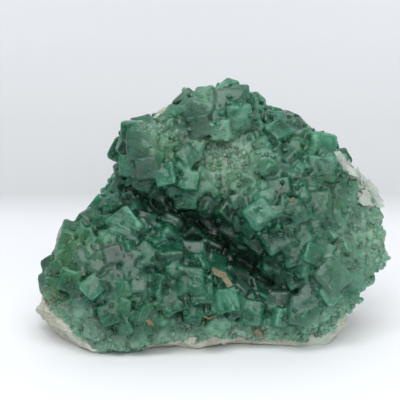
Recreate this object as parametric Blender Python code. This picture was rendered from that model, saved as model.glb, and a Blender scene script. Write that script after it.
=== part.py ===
"""A display specimen of green fluorite: a crust of intergrown cubes on a lump of pale host rock.

The crystal face is laid out in a frame of its own, in millimetres: u runs to the right, v runs up
the face and w stands out of it. The face looks up by LEAN, so the specimen stands on its broken
foot with the crystals turned a little upwards. World lengths are in metres, +Z up.
"""

import math
from random import Random

import bpy
import bmesh
import numpy as np
from mathutils import Matrix, Vector, noise

# Driving dimensions, in millimetres unless a name says otherwise
MM = 0.001
LEAN = math.radians(15)
MIDDLE = (0.0, 62.0)
ORIGIN_ACROSS = 0.3
ORIGIN_DEPTH = 38.6

# The front plane of the crystals: where it starts at the foot, and how it falls back going up
FACE_START = 6.0
FACE_SLOPE = -0.20
FACE_ROUNDING = 15.0
ROUNDING_POWER = 5

# The back of the rock: its depth at the foot, and how it thins going up
BACK_START = -78.0
BACK_SLOPE = 0.19

# The crust: how deep the rock lies under the crystals' ground, how thick the sheet is that they
# share, how far its root is cut off by the rock, and the gap between the two
CRUST_THICKNESS = 10.0
CRUST_BASE = 3.5
CRUST_ROOT = 6.0
GAP = 0.4
BASE_RAYS = 40
BASE_RINGS = (0.12, 0.24, 0.36, 0.5, 0.65, 0.8, 0.92, 1.0)
ROOT_RINGS = (0.8, 0.5, 0.2)
# The sheet laps back over the rim by the first depth at the foot and by both at the sides and top
LAP = (3.0, 9.0)
LAP_START = 0.35

# The rock is a ball of evenly spread points, pressed into shape: how many points, how far from
# the front's middle the rim is on the ball, and how much the sides between the rims belly out
ROCK_POINTS = 500
RIM_TILT = math.radians(66)
SIDE_BELLY = 0.04
# Lumps and breaks of the bare rock: size across, height
ROCK_SEED = 3
ROCK_BREAKS = ((40.0, 8.0), (17.0, 3.0))
BREAKS_START = 6.0
BREAKS_FULL = 24.0
BREAKS_UNDER_CRUST = 0.08
BARE_INSET = 8.0
BARE_POWER = 16
# The hollow is wider in the rock than in the crystals, so the crust lines it
HOLLOW_SPREAD = 1.35

# The outline seen from the front: u, v, how far the crust's base stays inside it and how far the
# rock does. A small last number is where bare rock makes the edge.
RIM = (
    (-97, 26, 12, 1), (-94, 34, 5, 8), (-92, 44, 4, 10), (-87, 55, 4, 10), (-77, 63, 4, 9),
    (-66, 74, 5, 9), (-57, 88, 5, 9), (-52, 101, 5, 10), (-49, 115, 5, 11), (-43, 127, 5, 11),
    (-35, 130.5, 5, 9), (-26, 129, 6, 1), (-18, 135, 5, 8), (-9, 142, 4, 10), (2, 145.5, 4, 11),
    (13, 144.5, 4, 11), (22, 141, 4, 11), (28, 133, 4, 10), (40, 132, 4, 9), (51, 126, 4, 9),
    (59, 120, 4, 9), (67, 118, 4, 10), (73, 109, 5, 7), (84, 98, 9, 2), (91, 87.5, 9, 2),
    (95, 75, 5, 5), (96, 63, 3, 8), (96, 54, 2, 8), (92, 42, 2, 9), (83, 33, 4, 9),
    (81, 26, 4, 9), (74, 18, 5, 5), (71, 9, 8, 0), (57, 0.5, 7, 0), (47, 1.6, 6, 0),
    (32, 4.3, 5, 0), (16, 5, 5, 0), (2, 6, 5, 0), (-9, 1.6, 6, 0), (-17, 4, 5, 0),
    (-28, 4, 4, 0), (-38, 0, 3, 1), (-49, -2, 3, 1), (-61, -2, 5, 0), (-69, 2, 6, 0),
    (-75, 8, 6, 0), (-83, 17, 6, 0), (-96, 20, 10, 1),
)

NO_INSET, CRUST_INSET, ROCK_INSET = 0, 2, 3

# Swells and hollows of the crystal face: u, v, radius, height
RELIEF = (
    # The swells round the edge
    (-38, 112, 16, 21), (7, 133, 16, 14), (61, 101, 19, 12), (-62, 47, 25, 17),
    (64, 30, 18, 15), (-8, 18, 22, 13), (-68, 2, 24, 11), (88, 58, 13, 5),
    # The band above the hollow, and the knob below it
    (-14, 90, 10, 9), (28, 78, 16, 13), (48, 66, 15, 8), (-12, 47, 8, 9),
    # The hollow, running down to the right
    (-29, 80, 7, -18), (-12, 70, 9, -23), (4, 60, 9, -22), (18, 47, 9, -21),
    (33, 38, 8, -16), (45, 32, 6, -8),
    # The pale basin under the top swell
    (9, 108, 13, -7),
)

# Crystals placed by hand: u, v of the front face's middle, edge, roll, pitch up, yaw right, lift
LEADING = (
    # The top swell
    (11, 137, 14.5, 2, 20, 5, 3), (20.5, 136, 10, -8, 10, 25, 2), (16, 127, 13.5, 4, -5, 8, 5),
    (-6.5, 131, 13, -22, 12, -15, 4), (-6, 122, 11, 15, -12, -8, 6), (5.5, 120, 10, 5, 0, -5, 8),
    (-2, 140, 12, 24, 35, -12, -1), (-14, 134.5, 8, 45, 15, -20, 1), (-13.5, 121, 9, 10, 20, -25, 3),
    (27, 128, 8, 40, 0, 30, 0),
    # The edge running down to the right shoulder
    (36, 127, 13, 3, 40, 5, 0), (47, 123, 10, 20, 20, 20, 1), (54, 117, 8, -15, 15, 25, 0),
    (27, 120, 9, 30, 10, 0, 1),
    # The right shoulder
    (63, 112, 15, -6, 8, 22, 3), (60, 99, 14, -4, 5, -8, 6), (73.5, 101, 10, 25, 5, 40, 0),
    (45, 111, 11, 3, 25, 0, 2), (46.5, 103, 10, 35, -5, 20, 3), (73, 84, 13, 4, 12, 18, 2),
    (57.5, 80, 13, -3, 6, -8, 4), (60, 72, 10, 8, -10, 10, 3), (48, 85, 9, 22, 10, -15, 1),
    (54, 90, 8, 40, 0, 0, 1),
    # The right edge
    (89, 70, 10, 15, 10, 35, 2), (91, 59, 10.5, -20, 0, 40, 2), (88, 47, 10, 35, -5, 35, 2),
    (79, 37, 11, 12, 0, 25, 3),
    # The middle
    (26, 75, 14, 38, 12, -6, 5), (42, 78, 10.5, -12, 12, 8, 3), (47.5, 74, 8, 18, 5, 0, 3),
    (37, 89, 11.5, 8, 22, -5, 3), (28, 87, 9, 50, 0, -15, 1), (-25, 96, 10.5, 10, 8, -18, 5),
    (-11.5, 93, 9.5, -8, 10, 0, 4), (-14, 83, 11.5, 1, 4, -4, 6), (-21, 88, 8, 30, 0, -10, 3),
    (15.5, 82, 8, 20, 15, 10, 2), (8, 87, 7.5, 40, 20, 0, 1), (17, 68.5, 9, 5, -10, -10, 3),
    # The upper left swell
    (-38, 112, 17, 0, -6, -14, 4), (-50, 99, 8.5, 20, 0, -35, 1), (-38, 124, 12, 12, 38, -10, 0),
    (-45, 99.5, 11.5, -6, -16, -22, 4), (-34.5, 99, 11.5, 10, -20, -2, 5),
    (-46, 120, 9, 40, 15, -35, 1), (-29, 114, 8, 25, 10, 15, 2), (-30.5, 104, 9, -15, 0, 10, 3),
    # The lower left wing
    (-47, 69, 15, 38, 10, -6, 6), (-35, 71, 9.5, -18, 15, 10, 4), (-39, 86.5, 12, 6, -12, 8, -3),
    (-52, 87, 9.5, 30, 10, -30, 1), (-59.5, 68, 11.5, -10, 8, -14, 4),
    (-35.5, 53, 12, 44, 12, 6, 5), (-29.5, 73.5, 9, 22, -8, 25, -1), (-52.5, 53, 9.5, 15, 15, 0, 3),
    (-75, 52, 12.5, 35, 25, -25, 1), (-89.5, 46.5, 9, 20, 10, -40, 0), (-91, 36.5, 9.5, 5, 0, -45, 0),
    (-75.5, 38.5, 11.5, -14, -8, -12, 4), (-63, 36, 10, 40, 14, 0, 4), (-68, 25, 11, 6, 5, -4, 6),
    (-39, 38, 10, 0, 32, 5, 4), (-47, 34.5, 8, 12, 0, -20, 4), (-54, 21.5, 10.5, 20, 5, 0, 5),
    (-79, 22, 12, 10, 0, -15, 3), (-62.5, 13, 11, -12, -12, -8, 4),
    (-68, 52, 10, 25, 20, -10, 3), (-44, 43, 9.5, 50, 10, 0, 3),
    # Below the hollow, down to the foot
    (-9.5, 54, 12, 5, 30, 0, 5), (-11, 39.5, 13.5, -4, 5, -4, 4), (-5, 33, 11.5, 2, 12, 8, 5),
    (-22, 26.5, 10.5, 25, 10, -5, 4), (-9, 21.5, 9.5, -10, 8, 10, 4), (8, 28, 12, 15, 8, 12, 4),
    (2, 16, 13, 45, 10, 0, 5), (14.5, 11, 11, 5, 15, 5, 4), (22.5, 21.5, 12, -12, 6, 0, 4),
    (-27.5, 12, 11, 8, 5, -8, 3), (-17, 11, 10.5, -20, 4, 5, 3), (-40, 9, 10.5, 22, 0, -10, 3),
    (-51, 7, 10, -8, -5, -12, 3), (25.5, 11, 10, 30, 5, 0, 3), (34.5, 12, 10, 0, 0, 10, 3),
    # The lower right
    (38, 26.5, 12.5, 3, 2, -10, 4), (50.5, 22.5, 15, -8, 8, 6, 5), (74, 27.5, 13.5, 30, 8, 25, 3),
    (66, 41.5, 16.5, 40, 15, 15, 4), (55.5, 53, 10, -22, 5, 30, 4), (45, 53, 11.5, 10, 12, -8, 4),
    (34, 60, 11.5, 28, 10, -5, 5), (52.5, 33, 7.5, -35, 15, 0, 4), (67, 70, 10, 15, 0, 10, 1),
    (80.5, 74, 9, -10, 10, 30, 1), (48, 11, 10, -10, -8, 4, 3), (63, 15.5, 9.5, 20, 0, 20, 2),
    (25, 48.5, 8, 18, 5, 10, -1), (11.5, 58, 9, -25, -12, -8, -1), (49, 63, 9.5, 30, 5, 0, 2),
    (58, 62, 9, -12, 8, 8, 2),
)
LEADING_SINK = 4.0

# Places where the crystals between the leading ones stay small: u, v, radius, size
FINE_GROUND = ((9, 105, 17, 0.7), (84, 56, 15, 0.75), (-28, 120, 9, 0.7))
# Places where the rock is bare of filling crystals: u, v, radius
BARE_GROUND = ((-96, 20, 14), (88, 94, 9), (-26, 132, 6), (60, 6, 8))

FILLING_SEED = 11
FILLING_COUNT = 88
FILLING_DRAWS = 60
FILLING_EDGE = (6.5, 12.0)
FILLING_LEAN = 38
FILLING_RISE = (-0.05, 0.2)
# How much of a gap between crystals a new one takes up, and how much of a crystal counts as full
GAP_TAKEN = 1.7
SPACING = 0.42
FILLING_SPREAD = (0.9, 1.1)
# Faces of the base that look further away from the front than this carry no crystals
FACING_LEAST = -0.15
# Twins: the edge from which a crystal has one, its size, and how far out of the middle it stands
TWIN_EDGE = 12.5
TWIN_SHARE = 0.62
TWIN_SPREAD = (0.85, 1.1)
TWIN_STEP = (0.42, 0.4)
TWIN_RISE = (-0.05, 0.12)
# Edge of the block that cuts the foot flat, in metres
FLOOR_BLOCK = 0.4

# The face frame
ACROSS = Vector((1, 0, 0))
UP_FACE = Vector((0, math.sin(LEAN), math.cos(LEAN)))
OUTWARD = Vector((0, -math.cos(LEAN), math.sin(LEAN)))
FACE_AXES = Matrix((ACROSS, UP_FACE, OUTWARD)).transposed()
ORIGIN = Vector((ORIGIN_ACROSS, ORIGIN_DEPTH, 0))


def clear_scene():
    for old in list(bpy.data.objects):
        bpy.data.objects.remove(old, do_unlink=True)


def place(u, v, w):
    """A point of the face frame, in millimetres, with the object's origin under its middle."""
    return ACROSS * u + UP_FACE * v + OUTWARD * w - ORIGIN


def on_face(spot):
    """u and v of a spot given in millimetres."""
    return (spot + ORIGIN).dot(ACROSS), (spot + ORIGIN).dot(UP_FACE)


def rim_radius(angle, inset_column):
    """Distance from MIDDLE to the outline along an angle, less the inset of that column."""
    points = []
    for row in RIM:
        u, v = row[0] - MIDDLE[0], row[1] - MIDDLE[1]
        inset = row[inset_column] if inset_column else 0
        points.append((math.atan2(v, u) % math.tau, math.hypot(u, v) - inset))
    points.sort()
    angles = [points[-1][0] - math.tau] + [p[0] for p in points] + [points[0][0] + math.tau]
    radii = [points[-1][1]] + [p[1] for p in points] + [points[0][1]]
    return float(np.interp(angle % math.tau, angles, radii))


def face_height(u, v, spread=1.0):
    """How far the crystal ground stands out at u, v, before the edge falls back."""
    height = FACE_START + FACE_SLOPE * v
    for centre_u, centre_v, radius, rise in RELIEF:
        if rise < 0:
            radius *= spread
        away = ((u - centre_u) ** 2 + (v - centre_v) ** 2) / radius**2
        height += rise * math.exp(-away / 2)
    return height


def rounding(share):
    """How far the face has fallen back at this share of the way from MIDDLE to the outline."""
    return FACE_ROUNDING * share**ROUNDING_POWER


def bare_rise(angle, share):
    """How far the rock comes up to the crystals' ground, where its own edge is bare."""
    inset = rim_radius(angle, NO_INSET) - rim_radius(angle, ROCK_INSET)
    bare = 1 - min(1.0, max(0.0, inset / BARE_INSET))
    return CRUST_THICKNESS * bare * share**BARE_POWER


def base_ring(share, sink, spread=1.0):
    """One ring of the crust's base, as points in the face frame, sunk below the crystal ground."""
    ring = []
    for step in range(BASE_RAYS):
        angle = math.tau * step / BASE_RAYS
        reach = share * rim_radius(angle, CRUST_INSET)
        u = MIDDLE[0] + reach * math.cos(angle)
        v = MIDDLE[1] + reach * math.sin(angle)
        ring.append(Vector((u, v, face_height(u, v, spread) - rounding(share) - sink)))
    return ring


def closed_loft(rings, first, last):
    """A closed mesh through rings of equal length, ended by a single point at each side."""
    shape = bmesh.new()
    tip = shape.verts.new(place(*first) * MM)
    rows = [[shape.verts.new(place(*point) * MM) for point in ring] for ring in rings]
    end = shape.verts.new(place(*last) * MM)
    count = len(rings[0])
    for step in range(count):
        after = (step + 1) % count
        shape.faces.new((tip, rows[0][step], rows[0][after]))
        for inner, outer in zip(rows, rows[1:]):
            shape.faces.new((inner[step], outer[step], outer[after], inner[after]))
        shape.faces.new((rows[-1][step], end, rows[-1][after]))
    bmesh.ops.triangulate(shape, faces=shape.faces)
    bmesh.ops.recalc_face_normals(shape, faces=shape.faces)
    return shape


def to_object(name, shape, material=None):
    mesh = bpy.data.meshes.new(name)
    shape.to_mesh(mesh)
    shape.free()
    made = bpy.data.objects.new(name, mesh)
    bpy.context.scene.collection.objects.link(made)
    if material:
        mesh.materials.append(material)
    return made


def make_helper(made):
    made.hide_render = True
    made.display_type = "WIRE"
    return made


def even_directions(count):
    """Directions spread evenly over a sphere, along a spiral."""
    turn = math.pi * (3 - math.sqrt(5))
    for step in range(count):
        height = 1 - (2 * step + 1) / count
        reach = math.sqrt(1 - height**2)
        yield Vector((reach * math.cos(turn * step), reach * math.sin(turn * step), height))


def rock_breaks(spot):
    """How far the rock's surface is broken away at a spot, in full only behind the crust."""
    depth = -(spot + ORIGIN).dot(OUTWARD)
    behind = min(1.0, max(0.0, (depth - BREAKS_START) / (BREAKS_FULL - BREAKS_START)))
    shift = Vector()
    for across, height in ROCK_BREAKS:
        shift += noise.noise_vector(spot / across) * height
    return shift * (BREAKS_UNDER_CRUST + (1 - BREAKS_UNDER_CRUST) * behind)


def rock_point(direction):
    """Where a point of the ball goes: on the rock's front, its side or its back."""
    angle = math.atan2(direction.y, direction.x)
    tilt = math.acos(direction.z)
    share = min(1.0, math.sin(min(tilt, math.pi - tilt) / 2) / math.sin(RIM_TILT / 2))
    along = min(1.0, max(0.0, (tilt - RIM_TILT) / (math.pi - 2 * RIM_TILT)))
    reach = share * rim_radius(angle, ROCK_INSET)
    u = MIDDLE[0] + reach * math.cos(angle)
    v = MIDDLE[1] + reach * math.sin(angle)
    front = face_height(u, v, HOLLOW_SPREAD) - CRUST_THICKNESS
    front += bare_rise(angle, share) - rounding(share)
    back = BACK_START + BACK_SLOPE * v
    belly = 1 + SIDE_BELLY * math.sin(math.pi * along)
    return place(
        MIDDLE[0] + (u - MIDDLE[0]) * belly,
        MIDDLE[1] + (v - MIDDLE[1]) * belly,
        front + (back - front) * along,
    )


def rock_shape():
    """The host rock, in facets of one size: rough all round, and even where the crust sits."""
    shape = bmesh.new()
    for direction in even_directions(ROCK_POINTS):
        shape.verts.new(direction)
    bmesh.ops.convex_hull(shape, input=shape.verts)
    noise.seed_set(ROCK_SEED)
    for vertex in shape.verts:
        spot = rock_point(vertex.co)
        vertex.co = (spot + rock_breaks(spot)) * MM
    bmesh.ops.recalc_face_normals(shape, faces=shape.faces)
    return shape


def floor_cutter():
    """A block under the foot, which leaves a flat face to stand on."""
    shape = bmesh.new()
    bmesh.ops.create_cube(shape, size=FLOOR_BLOCK)
    bmesh.ops.translate(shape, verts=shape.verts, vec=(0, 0, -FLOOR_BLOCK / 2))
    return make_helper(to_object("floor_cutter", shape))


def crust_base_shape():
    """The sheet that all the crystals grow from. It laps round the rim and is rooted in the rock."""
    root = CRUST_THICKNESS + CRUST_ROOT
    rings = [base_ring(share, CRUST_THICKNESS - CRUST_BASE) for share in BASE_RINGS]
    lap = []
    for step, point in enumerate(rings[-1]):
        upper = max(0.0, math.sin(math.tau * step / BASE_RAYS) + LAP_START)
        lap.append(Vector((point.x, point.y, point.z - LAP[0] - LAP[1] * min(1.0, upper))))
    rings.append(lap)
    for share in ROOT_RINGS:
        rings.append(base_ring(share, root, HOLLOW_SPREAD))
    first = (*MIDDLE, face_height(*MIDDLE) - CRUST_THICKNESS + CRUST_BASE)
    last = (*MIDDLE, face_height(*MIDDLE, HOLLOW_SPREAD) - root)
    return closed_loft(rings, first, last)


def leading_crystals():
    """The crystals placed by hand, as (middle, turn, edge) with the middle in millimetres."""
    found = []
    for u, v, edge, roll, pitch, yaw, lift in LEADING:
        turn = FACE_AXES @ (
            Matrix.Rotation(math.radians(-pitch), 3, "X")
            @ Matrix.Rotation(math.radians(yaw), 3, "Y")
            @ Matrix.Rotation(math.radians(roll), 3, "Z")
        )
        away = math.hypot(u - MIDDLE[0], v - MIDDLE[1])
        angle = math.atan2(v - MIDDLE[1], u - MIDDLE[0])
        share = min(1.0, away / rim_radius(angle, CRUST_INSET))
        front = place(u, v, face_height(u, v) - rounding(share) - LEADING_SINK + lift)
        found.append((front - turn.col[2] * edge / 2, turn, edge))
    return found


def twins_of(crystals, random):
    """Smaller cubes grown parallel to the larger ones, out of a corner of each."""
    found = []
    for middle, turn, edge in crystals:
        if edge < TWIN_EDGE:
            continue
        side = random.choice((-1, 1))
        rise = random.choice((-1, 1))
        small = edge * TWIN_SHARE * random.uniform(*TWIN_SPREAD)
        out = random.uniform(*TWIN_RISE)
        step = Vector((side * TWIN_STEP[0] * edge, rise * TWIN_STEP[1] * edge, out * edge))
        found.append((middle + turn @ step, turn, small))
    return found


def is_bare(spot):
    u, v = on_face(spot)
    return any(math.hypot(u - at_u, v - at_v) < radius for at_u, at_v, radius in BARE_GROUND)


def fine_share(spot):
    """How far the crystals are scaled down at a spot, given in millimetres."""
    u, v = on_face(spot)
    share = 1.0
    for centre_u, centre_v, radius, size in FINE_GROUND:
        if math.hypot(u - centre_u, v - centre_v) < radius:
            share = min(share, size)
    return share


def random_spot(faces, areas, random):
    """A face of the base and a spot on it, in millimetres, every spot as likely as another."""
    face = faces[int(np.searchsorted(areas, random.random() * areas[-1]))]
    a, b = sorted((random.random(), random.random()))
    corners = [vertex.co for vertex in face.verts]
    return face, (corners[0] * a + corners[1] * (b - a) + corners[2] * (1 - b)) / MM


def filling_crystals(base, taken, random):
    """Crystals between the others, each in the widest gap of a few drawn at random."""
    faces = [f for f in base.faces if f.normal.dot(OUTWARD) > FACING_LEAST]
    areas = np.cumsum([f.calc_area() for f in faces])
    middles = [middle for middle, _, _ in taken]
    edges = [edge for _, _, edge in taken]
    found = []
    while len(found) < FILLING_COUNT:
        draws = [random_spot(faces, areas, random) for _ in range(FILLING_DRAWS)]
        draws = [(face, spot) for face, spot in draws if not is_bare(spot)]
        apart = np.linalg.norm(np.array([s for _, s in draws])[:, None] - np.array(middles), axis=2)
        gaps = np.min(apart - SPACING * np.array(edges), axis=1)
        widest = int(np.argmax(gaps))
        face, spot = draws[widest]
        edge = min(max(GAP_TAKEN * float(gaps[widest]), FILLING_EDGE[0]), FILLING_EDGE[1])
        edge *= fine_share(spot) * random.uniform(*FILLING_SPREAD)
        lean = Matrix.Rotation(math.radians(random.uniform(0, FILLING_LEAN)), 3, "X")
        spin = Matrix.Rotation(random.uniform(0, math.tau), 3, "Z")
        own_spin = Matrix.Rotation(random.uniform(0, math.tau), 3, "Z")
        upright = face.normal.to_track_quat("Z", "Y").to_matrix()
        middle = spot + face.normal * edge * random.uniform(*FILLING_RISE)
        found.append((middle, upright @ spin @ lean @ own_spin, edge))
        middles.append(middle)
        edges.append(edge)
    return found


def cube_into(shape, middle, turn, edge):
    frame = Matrix.Translation(middle * MM) @ turn.to_4x4()
    bmesh.ops.create_cube(shape, size=edge * MM, matrix=frame)


def boolean(target, operation, other, self_crossing=False):
    cut = target.modifiers.new(operation.lower(), "BOOLEAN")
    cut.operation = operation
    cut.object = other
    cut.solver = "EXACT"
    cut.use_self = self_crossing


def connected_skins(shape):
    """The faces of a mesh, as one set for each connected skin."""
    unseen = set(shape.faces)
    skins = []
    while unseen:
        edge_of_skin = [unseen.pop()]
        skin = set(edge_of_skin)
        while edge_of_skin:
            face = edge_of_skin.pop()
            for near in (n for edge in face.edges for n in edge.link_faces):
                if near in unseen:
                    unseen.remove(near)
                    skin.add(near)
                    edge_of_skin.append(near)
        skins.append(skin)
    return skins


def settle(target):
    """Fixes the cuts in the mesh and keeps its one outer skin, so no pocket stays sealed inside."""
    graph = bpy.context.evaluated_depsgraph_get()
    mesh = bpy.data.meshes.new_from_object(target.evaluated_get(graph))
    target.modifiers.clear()
    target.data = mesh
    shape = bmesh.new()
    shape.from_mesh(mesh)
    skins = connected_skins(shape)
    outer = max(skins, key=lambda skin: sum(face.calc_area() for face in skin))
    spare = [face for face in shape.faces if face not in outer]
    bmesh.ops.delete(shape, geom=spare, context="FACES")
    shape.to_mesh(mesh)
    shape.free()


def principled(name, colour, roughness, **sockets):
    material = bpy.data.materials.new(name)
    material.use_nodes = True
    shader = material.node_tree.nodes["Principled BSDF"]
    shader.inputs["Base Color"].default_value = (*colour, 1)
    shader.inputs["Roughness"].default_value = roughness
    shader.inputs["Metallic"].default_value = 0
    for socket, value in sockets.items():
        shader.inputs[socket.replace("_", " ")].default_value = value
    material.diffuse_color = (*colour, 1)
    return material


def build_rock(cutter):
    """The host rock, and a helper that is larger by the gap, which cuts the crust's underside."""
    shape = rock_shape()
    grown = shape.copy()
    grown.normal_update()
    for vertex in grown.verts:
        vertex.co += vertex.normal * GAP * MM
    rock = to_object("host_rock", shape, principled("pale_rock", (0.62, 0.58, 0.48), 0.85))
    boolean(rock, "DIFFERENCE", cutter)
    return make_helper(to_object("rock_with_gap", grown))


def build_crust(rock_with_gap, cutter):
    random = Random(FILLING_SEED)
    base = crust_base_shape()
    base.normal_update()
    crystals = leading_crystals()
    crystals += twins_of(crystals, random)
    crystals += filling_crystals(base, crystals, random)
    shape = bmesh.new()
    for middle, turn, edge in crystals:
        cube_into(shape, middle, turn, edge)
    cubes = make_helper(to_object("crystals", shape))
    green = principled("green_fluorite", (0.09, 0.30, 0.20), 0.25, IOR=1.434)
    crust = to_object("fluorite_crust", base, green)
    boolean(crust, "UNION", cubes, self_crossing=True)
    boolean(crust, "DIFFERENCE", rock_with_gap)
    boolean(crust, "DIFFERENCE", cutter)
    settle(crust)


def main():
    clear_scene()
    cutter = floor_cutter()
    rock_with_gap = build_rock(cutter)
    build_crust(rock_with_gap, cutter)


main()
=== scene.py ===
"""Looks for a display specimen: intergrown green fluorite cubes on a lump of pale host rock.

The crystal face is laid out in a frame of its own, in millimetres: u runs to the right, v runs up
the face and w stands out of it. World lengths are in metres, +Z up.
"""

import math
from itertools import product
from random import Random

import bmesh
import bpy
import numpy as np
from mathutils import Matrix, Vector, noise
from mathutils.bvhtree import BVHTree


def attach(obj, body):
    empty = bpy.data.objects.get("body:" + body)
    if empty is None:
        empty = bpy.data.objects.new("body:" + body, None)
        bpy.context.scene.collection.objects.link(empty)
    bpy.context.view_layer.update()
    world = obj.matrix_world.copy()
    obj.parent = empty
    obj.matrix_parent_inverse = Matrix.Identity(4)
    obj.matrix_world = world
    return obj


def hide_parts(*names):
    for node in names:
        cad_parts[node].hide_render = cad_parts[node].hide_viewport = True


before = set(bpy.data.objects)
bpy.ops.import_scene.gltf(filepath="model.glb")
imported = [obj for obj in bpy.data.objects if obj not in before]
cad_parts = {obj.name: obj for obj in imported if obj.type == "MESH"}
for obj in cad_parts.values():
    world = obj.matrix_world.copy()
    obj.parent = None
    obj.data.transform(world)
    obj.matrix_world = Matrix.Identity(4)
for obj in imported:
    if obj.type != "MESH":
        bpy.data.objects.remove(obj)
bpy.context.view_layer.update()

bl_info = {
    "name": "Fluorite Specimen",
    "version": (1, 0, 0),
    "blender": (4, 5, 0),
    "location": "View3D > Sidebar > Specimen",
    "description": "Green fluorite crystals on host rock, as a display specimen",
    "category": "Object",
}

MM = 0.001
BODY = "root"
LEAN = math.radians(15)
ACROSS = Vector((1, 0, 0))
UP_FACE = Vector((0, math.sin(LEAN), math.cos(LEAN)))
OUTWARD = Vector((0, -math.cos(LEAN), math.sin(LEAN)))
FACE_AXES = Matrix((ACROSS, UP_FACE, OUTWARD)).transposed()
ORIGIN = Vector((0.3, 38.6, 0))
MIDDLE = (0.0, 62.0)

# The crystals' ground, as the solid model has it, in millimetres
FACE_START = 6.0
FACE_SLOPE = -0.20
FACE_ROUNDING = 15.0
ROUNDING_POWER = 5
CRUST_THICKNESS = 10.0
CRUST_BASE = 3.5
CRUST_ROOT = 6.0
ROCK_GAP = 0.4
BASE_RAYS = 40
BASE_RINGS = (0.12, 0.24, 0.36, 0.5, 0.65, 0.8, 0.92, 1.0)
ROOT_RINGS = (0.8, 0.5, 0.2)
HOLLOW_SPREAD = 1.35

# The outline seen from the front: u, v, how far the crust's base stays inside it
RIM = (
    (-97, 26, 12), (-94, 34, 5), (-92, 44, 4), (-87, 55, 4), (-77, 63, 4), (-66, 74, 5),
    (-57, 88, 5), (-52, 101, 5), (-49, 115, 5), (-43, 127, 5), (-35, 130.5, 5), (-26, 129, 6),
    (-18, 135, 5), (-9, 142, 4), (2, 145.5, 4), (13, 144.5, 4), (22, 141, 4), (28, 133, 4),
    (40, 132, 4), (51, 126, 4), (59, 120, 4), (67, 118, 4), (73, 109, 5), (84, 98, 9),
    (91, 87.5, 9), (95, 75, 5), (96, 63, 3), (96, 54, 2), (92, 42, 2), (83, 33, 4),
    (81, 26, 4), (74, 18, 5), (71, 9, 8), (57, 0.5, 7), (47, 1.6, 6), (32, 4.3, 5), (16, 5, 5),
    (2, 6, 5), (-9, 1.6, 6), (-17, 4, 5), (-28, 4, 4), (-38, 0, 3), (-49, -2, 3), (-61, -2, 5),
    (-69, 2, 6), (-75, 8, 6), (-83, 17, 6), (-96, 20, 10),
)

# Swells and hollows of the crystal face: u, v, radius, height
RELIEF = (
    (-38, 112, 16, 21), (7, 133, 16, 14), (61, 101, 19, 12), (-62, 47, 25, 17),
    (64, 30, 18, 15), (-8, 18, 22, 13), (-68, 2, 24, 11), (88, 58, 13, 5),
    (-14, 90, 10, 9), (28, 78, 16, 13), (48, 66, 15, 8), (-12, 47, 8, 9),
    (-29, 80, 7, -18), (-12, 70, 9, -23), (4, 60, 9, -22), (18, 47, 9, -21),
    (33, 38, 8, -16), (45, 32, 6, -8), (9, 108, 13, -7),
)

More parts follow.
